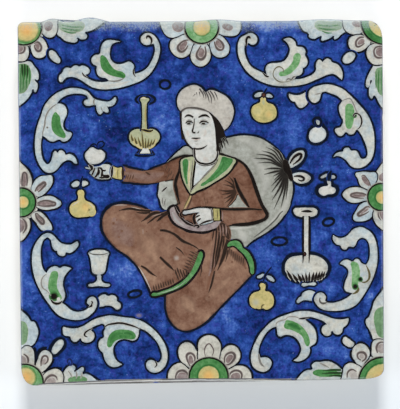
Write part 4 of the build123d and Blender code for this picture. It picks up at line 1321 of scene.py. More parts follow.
line("line_black", ROBE_LEFT[18:], 6.0, 5.3, beneath=CUSHION, ends=(0.3, 0.5))
ink([(232, 157.9), (243, 163.3), (250.5, 174), (256, 189), (261.5, 204), (265.7, 211.7), (266.6, 215.6),
    (262, 220.7)], 1.7, 8, beneath=HAIR)
ink([(265.5, 218.3), (256, 222.3), (248, 223.9), (240, 224.5), (232, 224.5)], 1.7, 8, beneath=HAIR)
ink([(178.3, 203), (176.7, 196), (175.5, 190), (174.7, 184), (175, 179.3)], 1.6, 7, beneath=BROWN)
ink([(228.4, 227), (229, 233), (229.3, 238), (229, 242)], 1.8, 7, beneath=CUSHION)
for number in range(9):
    x = 154 + number * 2.4
    y = 290.5 - number * 0.9
    robe_fold([(x - 0.8, y - 5.5), (x - 0.2, y - 2.5), (x + 0.4, y)], 1.1, ends=(0.1, 0.9), strength=0.8)
for number in range(7):
    x = 187.5 + number * 1.1
    y = 271 - number * 2.9
    robe_fold([(x - 5, y - 2.5), (x - 2, y - 1.3), (x + 0.5, y)], 1.1, ends=(0.1, 0.9), strength=0.75)

# %% [markdown]
# The waist gathers under the sash, and long dark folds fall from its knot between the knees.

# %% Folds from the waist
for width, points in (
    (1.3, [(216.5, 230), (216, 238), (215, 247), (213.5, 257), (212.8, 265), (211.5, 272)]),
    (1.5, [(219.5, 230), (219, 238), (217.5, 248), (216, 256), (215, 264)]),
    (1.6, [(222.5, 230), (222, 238), (220, 247), (218.5, 255), (216.5, 263), (214, 269.5)]),
    (2.8, [(226.5, 227), (228.3, 233), (228, 240), (226, 247), (223.8, 255), (221, 262.5), (217.5, 270.5)]),
    (1.1, [(213.5, 231), (213, 236), (212, 241)]), (1.3, [(224, 236), (223.5, 243), (221.8, 250)]),
    (1.0, [(228, 250), (227, 256), (225.5, 262)]),
    (1.4, [(214.5, 271), (213, 278), (211, 286), (208.5, 293)]),
    (0.8, [(201, 262), (201.5, 270), (200, 277)]),
):
    robe_fold(points, width, ends=(0.8, 0.15), strength=0.92)
robe_tone("manganese_purple", [(216, 232), (217, 245), (214, 262), (209, 276)], 9, strength=0.45)
robe_tone("deep_brown", [(213, 262), (211, 276), (207, 290)], 9, strength=0.6)
robe_tone("deep_brown", [(198, 243), (205, 243), (211, 240)], 10, strength=0.55)
robe_tone("deep_brown", [(135, 214), (141, 218), (147, 216)], 9, strength=0.5)
for number in range(8):
    x = 229.5 + number * 2.0
    y = 248.7 + number * 1.6 - 0.4 * abs(3 - number)
    robe_fold([(x, y), (x - 0.3, y + 4), (x - 0.6, y + 8)], 1.3, ends=(0.9, 0.1), strength=0.7)
robe_tone("deep_brown", [(231, 251), (237, 255), (243, 262), (246, 269)], 7, strength=0.6)

# %% Hems
LEFT_HEM = [
    (151.5, 295), (153, 293), (157, 292.8), (163, 291), (170, 288.5), (176, 285.5), (182, 281.5),
    (187, 277), (191, 271.3), (194.3, 264.5), (197, 257.5), (199, 253), (201, 251.5), (202.8, 254.3),
    (201.7, 260), (198.7, 267), (194.7, 273.7), (189.7, 279.6), (183.7, 285), (176, 289.2), (168, 292.2),
    (160, 294.8), (154, 296),
]
motif(LEFT_HEM, 8, pigment="copper_green", over=INK, show=2.4, tint=0.6)
robe_tone("deep_green", [(197, 252), (194, 259), (191, 267)], 3.0, coat=8, strength=0.8)
blush("white_touch", [(156, 294.3), (166, 291.7), (178, 286.8), (187, 280)], 1.6, coat=10, beneath=GREEN,
    strength=0.6)
RIGHT_HEM = [
    (227.5, 246.2), (229, 242.5), (233, 240.8), (238, 241.2), (241, 244), (243, 248), (246, 250),
    (249, 253), (252, 258), (253.7, 264), (254, 270), (253, 274), (250.8, 273), (250, 268), (248.5, 262.5),
    (246, 257.5), (243, 253.5), (239.5, 250.3), (236, 247), (232.5, 245.5), (229.5, 246.3),
]
line("line_black", RIGHT_HEM[1:7], 5, 7.7, beneath=CUSHION)
line("blue_black", RIGHT_HEM[5:13], 6.4, 7.8)
line("line_black", RIGHT_HEM, 3.4, 8, closed=True, beneath=INK)
wash("copper_green", RIGHT_HEM, 9, tint=0.5)
for number in range(11):
    x = 191 + 0.8 * number
    y = 273 - 1.9 * number
    ink([(x - 4.5, y - 2.6), (x - 2, y - 1.4), (x + 0.3, y)], 0.9, 8.5, beneath=BROWN, ends=(0.1, 0.9),
        strength=0.7)

# %% [markdown]
# ## Collar, shirt and sash

# %% Collar and shirt
motif([(193, 158), (205, 163), (217.5, 157), (219, 162), (214, 168.5), (209, 173.5), (203, 179.5),
    (197, 185.5), (191.5, 191), (190.5, 182), (191.5, 170)], 7, pigment="clean_white", over=BROWN, show=1.2,
    tint=0.0)
motif([(181, 160.5), (183, 158.7), (188, 157.3), (193.5, 157.3), (194.3, 161), (193.8, 166), (192.8, 173),
    (192, 180), (191.5, 187), (190.3, 193.4, SHARP), (186.5, 187), (183.5, 180.5), (181.5, 173),
    (180.7, 166)], 9, pigment="pale_celadon", over=HAIR, show=2.0)
leaf_green([(183, 160), (186.7, 158.8), (188.3, 161), (188, 168), (187.7, 175), (188, 182), (187.3, 184.5),
    (185, 180.5), (183.6, 175), (182.8, 168)], 11)
blush("deep_green", [(185.3, 162), (185, 170), (185.8, 178)], 1.8, coat=12, beneath=GREEN)
line("olive_line", [(192.8, 160), (192.2, 168), (191.2, 177), (190.6, 187), (190.3, 192)], 1.7, 12,
    strength=0.9)
blush("ochre_yellow", [(189.8, 161), (189, 171), (188.8, 181), (189.3, 188)], 2.2, coat=11, strength=0.8)
motif([(218.5, 155.5), (222, 155.7), (227, 156.8), (232, 158.3), (235.7, 160.5), (233.5, 165), (230.5, 170),
    (226, 174.5), (220, 178.7), (214, 182.3), (208, 186), (202, 188.7), (197, 190.7), (193.5, 193),
    (190.5, 194, SHARP), (192.3, 189.5), (196, 186), (200, 182), (205, 177), (210, 172), (214.5, 167),
    (217.5, 161.5), (218.3, 158)], 9, pigment="pale_celadon", over=HAIR, show=2.0, tint=0.4)
leaf_green([(222, 156.8), (228, 157.6), (233, 159.6), (231.3, 164.3), (227.5, 169.3), (222, 174),
    (215, 179.3), (208, 183.3), (201, 186.2), (200.5, 185), (205.5, 180.8), (211, 175.5), (216, 169.8),
    (219.7, 163.3), (221.2, 159)], 11)
blush("deep_green", [(224, 160), (222, 167), (216, 174), (209, 180)], 2.6, coat=12, beneath=GREEN,
    strength=0.6)
line("olive_line", [(217.3, 157.5), (215.7, 163), (211, 169.5), (206, 175), (200, 181), (194.5, 187),
    (191.5, 191)], 1.5, 12, strength=0.85)
line("olive_line", [(190.5, 193), (188.5, 198), (186, 203), (183.5, 209)], 1.3, 8, strength=0.9,
    beneath=BROWN)
robe_tone("ochre_yellow", [(191.5, 194), (189.5, 199), (186.5, 205), (184.5, 209)], 2.6, strength=0.6)
robe_fold([(192.5, 194.5), (191, 200), (188.5, 206), (187, 209)], 1.0, strength=0.7)

# %% Torso folds
torso_fold([(179.5, 166), (178.7, 172), (176.6, 178), (175.4, 184), (176.3, 190), (178, 197.5),
    (179.7, 204)], 2.4)
for far, width in (
    ((228.5, 176), 1.3), ((224.5, 180), 1.3), ((223, 184.5), 1.2), ((219, 190), 1.5), ((221.5, 194.5), 1.4),
    ((223.5, 199), 1.2), ((225, 203), 1.2), ((226.5, 207), 1.4), ((222, 191.5), 1.0), ((233, 177), 1.6),
):
    sag = -0.8 if far[1] < 190 else 1.2
    bend = ((far[0] + 237) / 2 + 0.6, (far[1] + 189.5) / 2 + sag)
    torso_fold([far, bend, (236.8, 190)], width, ends=(0.15, 1.0), strength=0.85)
dab("deep_brown", 236.5, 188, 5.5, 7.6, beneath=TORSO)
blush("deep_brown", [(228, 178), (233, 185), (238, 190)], 8, coat=7.5, beneath=TORSO, strength=0.6)
ink([(234.5, 178), (236.5, 184), (238.7, 190), (242, 196), (246, 202.5), (250, 208.7)], 2.6, 9,
    beneath=TORSO)
motif([(239, 194.5), (241.3, 198), (245, 203.5), (248, 208), (238, 207.7), (228.8, 208), (232, 204.3),
    (236, 199.5)], 8, pigment="cushion_grey", over=BROWN, show=1.5)
ink([(201, 207.3), (208, 207.2), (215, 208.3), (228, 209.3), (240, 209.3), (252, 209), (262, 209.8)], 1.8,
    10, beneath=TORSO, ends=(0.6, 0.5))
for x, y in ((167, 168), (170, 170), (172, 173), (169, 176), (173.5, 176.5)):
    torso_fold([(x, y - 2.5), (x - 0.6, y), (x - 2.2, y + 2.5)], 0.9, strength=0.6)
for x in (126, 128, 130.5, 133):
    torso_fold([(x + 0.6, 174.5), (x, 177), (x - 1, 179.5)], 0.8, strength=0.6)
torso_fold([(145.5, 171.8), (148, 173.5), (150.5, 175)], 1.2, strength=0.7)
blush("manganese_purple", [(124, 173), (132, 175), (142, 177), (154, 176), (164, 173)], 12, coat=7.5,
    beneath=TORSO, strength=0.3)
for x, y in ((204.5, 200), (205.5, 204), (207, 201.5)):
    torso_fold([(x, y - 2), (x + 0.6, y + 2)], 0.8, strength=0.5)
for x, y in ((245, 221), (256, 213), (258, 216), (260, 214)):
    torso_fold([(x, y - 1.5), (x + 1.4, y + 1.3)], 0.8, strength=0.4)

# %% Sash
motif([(170, 209.5), (175, 207), (178, 213), (181.5, 218), (184.5, 221.3), (188, 223.7), (192, 225.3),
    (198, 226), (204, 225.3), (209, 224), (214, 222.3), (220, 221), (221, 224), (216.5, 227.5),
    (212, 229.3), (207, 230.7), (201, 231.3), (195, 231), (189, 229.7), (183, 227.5), (178, 225),
    (174, 221.7), (171.3, 217.5), (170.2, 213)], 8, pigment="manganese_purple", over=INK, show=2.6,
    tint=0.8)
ink([(174.7, 206.5), (176.5, 211), (179, 215), (181.8, 218.7), (185, 221.8), (189, 224.2), (193, 225.5),
    (197, 226)], 1.7, 11, beneath=MAUVE)
blush("grey_wash", [(172, 212), (176, 220), (184, 226)], 4, coat=10, beneath=MAUVE, strength=0.6)
wash("line_black", [(217, 228), (219, 224.5), (221, 221.8), (224, 222.5), (227.3, 226), (228.8, 232),
    (229, 240), (226, 238), (222, 232), (218, 231)], 10, soft=1.2, beneath=BROWN, strength=0.85)
for x in (219.5, 222.3, 225.5):
    robe_tone("manganese_purple", [(x, 224.5), (x + 0.8, 229), (x + 0.6, 236)], 1.5, coat=12, strength=0.6)
robe_tone("manganese_brown", [(184.5, 219), (189, 218), (193, 219)], 6, coat=9, tint=0.4)

# %% [markdown]
# ## Hands and cuffs

# %% The hand at the waist
motif([
    (182.7, 213.2), (184.5, 214.3), (188, 213.7), (192, 213.1), (196, 212.6), (199, 212.4, SHARP),
    (197.5, 214), (196, 215.5), (195.2, 217), (195.7, 218.5), (195.5, 220), (196.5, 221.7), (197.5, 223.3),
    (198.5, 225.2, SHARP), (200, 223.5), (202, 222), (205, 220.9), (208, 220.1), (211, 219.5), (212.2, 217),
    (212.2, 214), (211.2, 211), (209, 208.7), (206, 208.2), (202, 208), (198, 208.2), (194, 209),
    (190, 210.1), (186.5, 210.7), (184, 211.2),
], 10, pigment="clean_white", over=HAIR, show=1.7, tint=0.8)
ink([(195, 213.2), (194, 216), (194, 220), (195.2, 223.5), (197, 226)], 1.8, 12, beneath=BROWN)
ink([(199.8, 215.3), (197.5, 216.3), (195.5, 217.8)], 1.1, 13)
ink([(200.7, 218.3), (199, 219.6), (197.2, 221.3)], 1.2, 13)
ink([(193.6, 226.6), (196.3, 225.4), (198.7, 226.6), (196.8, 228)], 1.4, 13, beneath=MAUVE)
ink([(199, 225.3), (202, 223.3), (205.5, 221.8), (209, 220.8), (213, 220)], 1.2, 13)
motif([(202, 224.2), (205, 222.8), (209, 221.6), (213, 221.1), (212, 222.3), (208, 223.5), (204, 224.6)],
    11, over=MAUVE, show=0.9)
ink([(182.6, 211.5), (180.7, 213.8), (181, 216), (183.5, 216.8)], 1.6, 12, beneath=BROWN)
motif([(213, 208.7, SHARP), (219.3, 208.8, SHARP), (219.7, 214), (219.9, 220.3, SHARP), (214, 220.3, SHARP),
    (213.2, 214)], 10, pigment="ochre_yellow", over=HAIR, show=1.7, tint=-0.9)
line("olive_line", [(217, 209.5), (217.4, 214), (217.3, 219.8)], 1.3, 13, beneath=YELLOW)
line("olive_line", [(213.6, 209), (213.4, 214), (214, 220)], 1.2, 13, beneath=YELLOW)
robe_tone("manganese_purple", [(222.3, 211), (222.6, 216), (222.6, 221)], 2.2, coat=9, strength=0.6)
ink([(211, 208.2), (211.8, 212), (212.3, 216), (212, 219.5)], 1.3, 13, strength=0.8)

# %% The hand that holds the fruit
motif([
    (85, 157), (85.5, 153), (88, 150.3), (89.7, 148.3), (92.5, 147.3), (95, 148.5), (98, 149.8),
    (101, 149.8), (103, 151.3), (104.8, 153.3), (105.1, 156), (104, 159), (102, 161.3), (99.5, 163),
    (96, 163.9), (92, 164), (89, 163), (86.8, 160.5),
], 3, pigment="clean_white", tint=0.5)
line("blue_black", [(90, 147), (91.5, 145), (94.5, 144), (97, 145.5)], 2.4, 5)
line("blue_black", [(97, 148.5), (97.3, 144.5), (99.5, 141.7), (103.3, 142), (104, 145), (101, 147.6),
    (98, 148.3)], 2.0, 5)
motif([(92.5, 167), (95, 165.5), (99, 164.8), (103, 164.2), (107, 164.2), (110, 165.2), (111.8, 168),
    (111.8, 172), (111.2, 176), (109, 178.6), (105, 179.2), (100, 179.2), (97, 178.5), (95.3, 177.3),
    (97.5, 175), (99, 171.5), (98, 169), (95, 168.5)], 2, tint=-0.1)
motif([(89.7, 173), (91, 170.7), (92.6, 168.8), (93.3, 170.5), (92.5, 173), (91, 174.2)], 1, show=1.3)
motif([(92.6, 176), (94, 173), (95, 170), (96.2, 168.3), (98, 168.7), (97.9, 172), (96.2, 175),
    (94, 176.8)], 2, show=1.2)
motif([(85.3, 167.4), (87.5, 167.4), (90, 168.6), (87.5, 168.9)], 1, show=1.2)
for width, points in (
    (1.3, [(94.8, 168), (94, 170.5), (92.6, 173.5), (91.6, 176)]),
    (1.5, [(98.2, 168.5), (98.2, 172), (96.5, 175.5), (94.3, 178)]),
    (1.6, [(97.5, 168.3), (100.5, 168.2), (102, 170), (101.8, 174), (100.8, 178)]),
    (1.0, [(99.5, 169.5), (99.3, 172.5), (98, 175.5)]), (1.4, [(102, 169.7), (104, 170.6), (106, 170.2)]),
    (1.7, [(102.5, 171), (102.3, 174), (103.3, 175.6), (106, 175.8), (108.6, 176.6), (105, 177.2),
      (101.8, 177.8), (99, 177.8)]),
    (2.0, [(88.5, 164.3), (90.5, 166), (92, 168.5), (90.5, 170.5)]),
):
    ink(points, width, 6, ends=(0.6, 0.5))
motif([(112.8, 166.5), (115, 167.2), (118, 168), (121, 167.3), (122, 167.6), (122, 178.8), (118, 178.8),
    (113.5, 177.7), (112.5, 177)], 7, pigment="ochre_yellow", tint=-0.5, show=1.8)
blush("white_touch", [(115, 168), (115, 172.5), (114.5, 177)], 1.5, coat=9, strength=0.6, beneath=YELLOW)
blush("white_touch", [(120.3, 168.3), (120.5, 173), (120.2, 178)], 1.2, coat=9, strength=0.5,
    beneath=YELLOW)
line("olive_line", [(118, 168.5), (117.6, 173), (118, 178.3)], 1.8, 9, beneath=YELLOW, strength=0.7)
ink([(122.8, 167.5), (123, 173), (122.6, 179.8)], 1.7, 10, beneath=BROWN)
ink([(113, 165.5), (112, 170), (111.8, 175), (110.8, 178.5)], 1.6, 9)

# %% [markdown]
# ## Head and turban
#
# The head sits where the picture has it, turned a little to the left under the big turban. The face is
# a plain one, laid out by the rules of a drawing book: brow, nose and chin a third apart, the eyes one
# eye's width from each other. Hair falls behind the cheek.

# %% Head
HEAD_LEFT, HEAD_RIGHT = 181.7, 215.5
BROW, CHIN = 115.5, 149.0
THIRD = (CHIN - BROW) / 2
MIDLINE = HEAD_LEFT + (HEAD_RIGHT - HEAD_LEFT) * 0.42  # the head is turned a little to the left
EYE = (HEAD_RIGHT - HEAD_LEFT) / 4.6
EYE_LINE = BROW + THIRD * 0.36
NOSE = BROW + THIRD
MOUTH = NOSE + THIRD * 0.36


def at_level(level, *steps, middle=MIDLINE, reach=1):
    """Points at one feature's level: each some reaches from its middle, and some pixels lower."""
    return [(middle + right * reach, level + down) for right, down in steps]


CHEEK = [
    (HEAD_LEFT + 0.2, 113), (HEAD_LEFT + 0.1, 120), (HEAD_LEFT + 0.7, 128), (HEAD_LEFT + 2.6, 135.5),
    (MIDLINE - 8.6, 142), (MIDLINE - 3.8, CHIN - 1.6),
]
JAW = at_level(CHIN, (-2.4, -0.7), (1.5, 0), (7, -1), (11.5, -4))
THROAT = [
    (MIDLINE - 1.6, CHIN - 0.3), (194.6, 153), (195.2, 158), (198, 161.8), (203, 163.7), (209, 163.7),
    (214, 161.3), (216.9, 157.5), (217.8, 151),
]

motif([
    (HEAD_LEFT, 104), *CHEEK, (MIDLINE - 1.6, CHIN - 0.3, SHARP), (194.6, 155), (197, 161),
    (202, 163.9), (209, 163.9), (214.5, 161.3), (217.2, 156), (217.5, 149), (HEAD_RIGHT + 1.5, 140),
    (HEAD_RIGHT + 1.3, 128), (HEAD_RIGHT, 116), (HEAD_RIGHT - 2, 104),
], 9, pigment="clean_white", over=HAIR, show=1.7, tint=0.3)
for side, reach in ((-1, 3.2), (1, 4.1)):
    middle = MIDLINE + side * EYE * (0.92 if side < 0 else 1.08)
    beside_eye = partial(at_level, EYE_LINE, middle=middle, reach=reach)
    white = beside_eye((-1, 1.6), (-0.4, 0.2), (0.4, 0.1), (1, 1.5), (0.4, 2.8), (-0.4, 2.9))
    wash("clean_white", white, 11, tint=-1.4)
    disc("olive_line", middle - 0.4, EYE_LINE + 1.3, 2.0, 12, 0.5, tint=-2.5, beneath=HAIR)
    disc("line_black", middle - 0.4, EYE_LINE + 1.2, 1.4, 13, 0.5, beneath=HAIR)
    lid = beside_eye((-1.1, 1.8), (-0.5, 0.1), (0.3, -0.2), (1.2, 1.4))
    ink(lid, 1.35, 14, ends=(0.45, 0.45))
    ink(beside_eye((-0.8, 2.7), (0, 3.2), (0.9, 2.4)), 0.6, 14, strength=0.8)
    ink(beside_eye((-0.9, -0.8), (0, -1.9), (1, -0.7)), 0.5, 13, strength=0.55)
    steps = [(-1.3, 1.9), (-0.3, 0.1), (0.6, 0), (1.45, 2.1)]
    ink(at_level(BROW, *steps, middle=middle, reach=side * reach), 1.6, 13, ends=(0.6, 0.2))
ridge = [
    *at_level(BROW, (-1.6, 3.0)), *at_level(EYE_LINE, (-1.9, 2.5)),
    *at_level(NOSE, (-2.9, -3.4), (-3.4, -1), (-2.2, 0.5), (-0.4, 0.2)),
]
ink(ridge, 1.15, 13, ends=(0.4, 0.8))
ink(at_level(NOSE, (0.8, 0.6), (2.4, 0.4), (3.0, -1.4)), 0.85, 13, strength=0.85)
upper_lip = at_level(MOUTH, (-4.2, 0), (-1.7, -1.2), (-0.2, -0.7), (1.6, -1.2), (4.3, -0.1))
lower_lip = at_level(MOUTH, (2, 1.7), (0, 2.1), (-2, 1.7))
wash("blush_red", upper_lip + lower_lip, 12, soft=0.7, strength=0.7)
mouth = at_level(MOUTH, (-4.5, -0.1), (-1.8, 0), (-0.2, 0.3), (1.6, 0), (4.6, -0.3))
ink(mouth, 1.05, 13, ends=(0.45, 0.45))
ink(at_level(MOUTH, (-1.8, 2.5), (0, 2.9), (1.9, 2.4)), 0.55, 13, strength=0.6)
ink(at_level(MOUTH, (-1.2, 5.4), (0.6, 5.8), (2.4, 5.3)), 0.5, 13, strength=0.4)
ink(JAW, 1.4, 12, ends=(0.9, 0.15))
ink(THROAT, 1.4, 12, ends=(0.8, 0.8))
blush("blush_red", at_level(NOSE, (-8.6, -2), (-8, 1.5), (-6.6, 4)), 3.6, coat=11, strength=0.14)
blush("blush_red", at_level(NOSE, (9.5, -3), (9.5, 1), (8, 4)), 4.5, coat=11, strength=0.12)
blush("blush_red", [(204, 157), (206, 160), (209, 161.5)], 6, coat=11, strength=0.12)

# %% Hair and turban
wash("line_black", [
    (208, 108), (214, 111), (219, 115), (222, 122), (223.5, 128), (224.7, 133), (226, 137), (227, 142.5),
    (224.7, 140.3), (225, 145), (222.7, 142), (222.5, 148), (220.6, 145), (219.8, 153), (217.2, 153),
    (216.3, 146), (215.6, 138), (215.2, 131), (214, 124), (211.8, 117), (208.5, 112),
], 11, beneath=HAIR)
ink([(221.5, 138), (223.6, 142), (225.5, 148)], 0.8, 12, beneath=CUSHION, ends=(1.0, 0.2))
ink([(224, 137), (227, 141), (228.5, 145)], 0.7, 12, beneath=CUSHION, ends=(1.0, 0.2))
ink([(219.5, 143), (220.5, 148), (222, 152)], 0.7, 12, beneath=CUSHION, ends=(1.0, 0.2))
wash("line_black", [
    (178.6, 106), (183.5, 108), (183.6, 121), (184, 128), (184.8, 133.5), (184, 137), (182.6, 139.5),
    (181.2, 135), (180.4, 128), (179.9, 120), (179.2, 112),
], 8.5, soft=0.4, beneath=HAIR)
TURBAN_CROWN = [
    (181.5, 111.2), (178.5, 108), (177.2, 103), (177.3, 99), (178.5, 95), (180.7, 91.5), (183.7, 88.8),
    (187.3, 86.7), (191.3, 85.3), (195, 85), (198.3, 86), (201.5, 88.3), (204, 91), (206.2, 92.9, SHARP),
    (208.5, 90.6), (211.5, 90), (214.5, 90.6), (218, 92), (222, 94), (225.3, 95.8), (228.3, 98.5),
    (230.7, 101.7), (232.3, 104.7), (233.4, 108.3), (233.8, 112), (233.1, 116.3), (231.2, 121.7),
    (228.2, 126.7), (224.3, 130.3, SHARP),
]
TURBAN_BROW = [
    (222, 126), (219, 121), (215, 116.7), (210, 112.5), (206, 110.7), (202, 109.3), (198, 108.4),
    (194, 107.9), (190, 107.8), (186, 108.3), (183.3, 109.7),
]
halo(TURBAN_CROWN, 6, 0.2, ends=(0.9, 0.9))
line("blue_black", TURBAN_CROWN, 6.2, 12, ends=(0.7, 0.7))
line("blue_black", TURBAN_CROWN[17:26], 8.4, 11.8, ends=(0.4, 0.3))
wash("white_slip", TURBAN_CROWN + TURBAN_BROW, 13, tint=1.0, strength=0.84, beneath=srgb(130, 96, 104))
line("line_black", [*TURBAN_BROW[3:], (181.5, 111.2)], 2.6, 15, ends=(0.5, 0.9), strength=0.85,
    beneath=srgb(176, 170, 162))
for width, points in (
    (1.3, [(199.5, 88.5), (201, 91), (203, 94), (203.7, 98)]), (1.0, [(196.5, 92.3), (197, 95.5)]),
    (1.0, [(199.3, 91.8), (200.2, 97)]), (0.8, [(195.3, 94), (192.5, 97)]),
    (1.3, [(205.7, 92), (208, 96.5), (209.3, 102.5)]), (1.2, [(208, 91.6), (211, 97), (211.7, 103.7)]),
    (1.3, [(210, 90.8), (213.5, 96), (215, 100.7)]), (1.0, [(214.3, 91.8), (216.6, 96), (217.8, 100)]),
    (1.0, [(203, 90.8), (205.5, 95), (206, 99)]),
):
    ink(points, width * 0.8, 15, strength=0.85, ends=(0.9, 0.2), beneath=srgb(180, 174, 168))

# %% [markdown]
# ## One mesh for each pigment
#
# The shapes of one colour become one piece, as one pot of pigment painted them. Their values come
# along as attributes. Join is an editor's operator, but it also works on the objects given to it.

# %% Join the shapes
CREASE = radians(32)  # what bends more sharply than this shows as an edge


def in_scene(name, data):
    """An object of that data, linked to the scene."""
    made = bpy.data.objects.new(name, data)
    bpy.context.scene.collection.objects.link(made)
    return made


def joined(pigment, meshes):
    """One object from all shapes of a pigment."""
    parts = [in_scene(pigment, mesh) for mesh in meshes]
    if len(parts) > 1:
        with bpy.context.temp_override(
            active_object=parts[0], object=parts[0], selected_objects=parts, selected_editable_objects=parts
        ):
            bpy.ops.object.join()
    piece = parts[0]
    piece.name = pigment
    piece.data.name = pigment
    piece.data.shade_smooth()
    piece.data.set_sharp_from_angle(angle=CREASE)
    return piece


pieces = {pigment: joined(pigment, meshes) for pigment, meshes in shapes.items()}
for name, piece in pieces.items():
    print(name, len(piece.data.polygons), "faces")

# %% The slab's own piece
slopes = slab.verts.layers.float.new("slope")
undersides = slab.verts.layers.float.new("south")
thin_and_sheen_layer = slab.verts.layers.float.new("thinness")
for point in slab.verts:
    point[slopes] = 1 - point.normal.z
    point[undersides] = max(0.0, -point.normal.y) if point.co.y < 0 else 0.0
    point[thin_and_sheen_layer] = thin_cobalt_and_sheen(point.co.x, point.co.y)
slab_mesh = bpy.data.meshes.new("fired_tile")
slab.to_mesh(slab_mesh)
fired_tile = in_scene("fired_tile", slab_mesh)
slab_mesh.shade_smooth()
slab_mesh.set_sharp_from_angle(angle=radians(40))
print("fired_tile", len(slab_mesh.polygons), "faces")

# %% [markdown]
# ## Shader arithmetic
#
# A glaze's colour is arithmetic on noise: clouds times streaks, plus grain, through a ramp. Written as
# Python expressions it stays readable. One class wraps a socket and gives it the operators, and one
# method makes any other node.

# %% Sockets that can be added and multiplied


class Value:
    """A socket of a node tree that takes part in arithmetic."""

    def __init__(self, finish, socket):
        self.finish = finish
        self.socket = socket

    def __add__(self, other):
        return self.finish.math("ADD", self, other)

    __radd__ = __add__

    def __sub__(self, other):
        return self.finish.math("SUBTRACT", self, other)

    def __rsub__(self, other):
        return self.finish.math("SUBTRACT", other, self)

    def __mul__(self, other):
        return self.finish.math("MULTIPLY", self, other)

    __rmul__ = __mul__

    def clamped(self):
        return self.finish.math("MULTIPLY", self, 1.0, clamp=True)


class Finish:
    """A material under construction."""

    def __init__(self, name):
        self.material = bpy.data.materials.new(name)
        self.material.use_nodes = True
        self.tree = self.material.node_tree
        self.tree.nodes.clear()
        self.place = self.node("ShaderNodeTexCoord", output="Object")

    def node(self, kind, settings=None, sockets=None, output=0):
        """Makes a node. Settings come first, then values or links go to its sockets."""
        made = self.tree.nodes.new(kind)
        for key, value in (settings or {}).items():
            if key == "stops":
                while len(made.color_ramp.elements) < len(value):
                    made.color_ramp.elements.new(0.5)
                for element, (position, colour) in zip(made.color_ramp.elements, value):
                    element.position = position
                    element.color = colour
            else:
                setattr(made, key, value)
        for key, value in (sockets or {}).items():
            if isinstance(value, Value):
                self.tree.links.new(value.socket, made.inputs[key])
            else:
                made.inputs[key].default_value = value
        return Value(self, made.outputs[output]) if len(made.outputs) else made

    def math(self, operation, first, second, clamp=False):
        settings = {"operation": operation, "use_clamp": clamp}
        return self.node("ShaderNodeMath", settings, {0: first, 1: second})

    def attribute(self, name, output="Fac"):
        return self.node("ShaderNodeAttribute", {"attribute_name": name}, output=output)

    def along(self, axis):
        """How far a place lies along the tile's X, Y or Z."""
        return self.node("ShaderNodeSeparateXYZ", sockets={0: self.place}, output=axis)

    def noise(self, scale, detail=3.0, roughness=0.6, vector=None, torn=0.0):
        """Noise from 0 to 1. A larger scale gives finer spots, and torn ones have ragged borders."""
        sockets = {"Vector": vector or self.place, "Scale": scale, "Detail": detail}
        sockets.update({"Roughness": roughness, "Distortion": torn})
        return self.node("ShaderNodeTexNoise", sockets=sockets, output="Fac")

    def sway(self, reach, *values):
        """Noise that sways about nought, by half its reach to each side."""
        return (self.noise(*values) - 0.5) * reach

    def stretched(self, x, y, turn=0.0):
        """The place, stretched and turned, for brush streaks."""
        sockets = {"Vector": self.place, "Scale": (x, y, 1.0), "Rotation": (0.0, 0.0, radians(turn))}
        return self.node("ShaderNodeMapping", sockets=sockets)

    def ramp(self, value, stops):
        """A colour for each value. A stop is its place and the colour there, as srgb takes it."""
        stops = [(place, srgb(*colour)) for place, *colour in stops]
        return self.node("ShaderNodeValToRGB", {"stops": stops}, {"Fac": value}, output="Color")

    def smooth(self, value, start, stop):
        """0 before the start and 1 past the stop, with a soft step between them."""
        settings = {"interpolation_type": "SMOOTHSTEP"}
        sockets = {"Value": value, "From Min": start, "From Max": stop}
        return self.node("ShaderNodeMapRange", settings, sockets)

    def blend(self, share, first, second, kind="MIX"):
        """The first colour, with that share of the second."""
        settings = {"data_type": "RGBA", "blend_type": kind}
        return self.node("ShaderNodeMix", settings, {0: share, 6: first, 7: second}, output=2)

    def painted_top_sheen(self, colour, roughness):
        """Painted sheen and glints on the rolled top edge, where it reflects the light; the glaze is
        rougher there.
        """
        sheen_band = self.smooth(self.along("Y") + self.sway(6 * MM, 120.0), *SHEEN_REACH)
        glint_dots = self.smooth(self.noise(1500.0, 2.0) + sheen_band * 0.2, 0.6, 0.68)
        painted_glints = glint_dots * self.smooth(sheen_band, 0.02, 0.3)
        sheened = self.blend((sheen_band * 0.16 + painted_glints * 0.42).clamped(), colour, srgb(150, 164, 166))
        return sheened, roughness + sheen_band * 0.4

    def gloss(self):
        """The glaze's own roughness, which isn't even."""
        return self.noise(260.0) * 0.12 + GLOSS

    def under_glaze(self, colour):
        """The finished material of a colour beneath the glaze, with the painted sheen of the top edge."""
        return self.surface(*self.painted_top_sheen(colour, self.gloss()), self.noise(420.0), 0.18)

    def surface(self, colour, roughness, height=None, bump=0.0, specular=0.5):
        sockets = {"Base Color": colour, "Roughness": roughness, "Specular IOR Level": specular}
        if height is not None:
            sockets["Normal"] = self.node(
                "ShaderNodeBump", sockets={"Strength": bump, "Distance": 0.0002, "Height": height}
            )
        shader = self.node("ShaderNodeBsdfPrincipled", sockets=sockets)
        self.node("ShaderNodeOutputMaterial", sockets={"Surface": shader})
        return self.material


GLOSS = 0.14  # the glaze's least roughness
SHEEN_REACH = (92.0 * MM, 99.0 * MM)  # how far up the tile the painted sheen of the top edge begins and is whole

# %% [markdown]
# ## Cobalt
#
# The ground shows three sizes of unevenness at once: clouds some centimetres wide, streaks left by a
# flat brush, and a fine grain of pigment. Their sum and the listed clouds, the painted sheen along the
# top edge among them, choose a colour on one ramp, from ink to a milky blue. A scatter of tiny pale
# pinholes lies over all.

# %% The cobalt ground
SIZES_MIDDLE = 1.6  # what the sizes of unevenness add up to on the average
GROUND_TONE = 0.475  # the ground's average place on its ramp


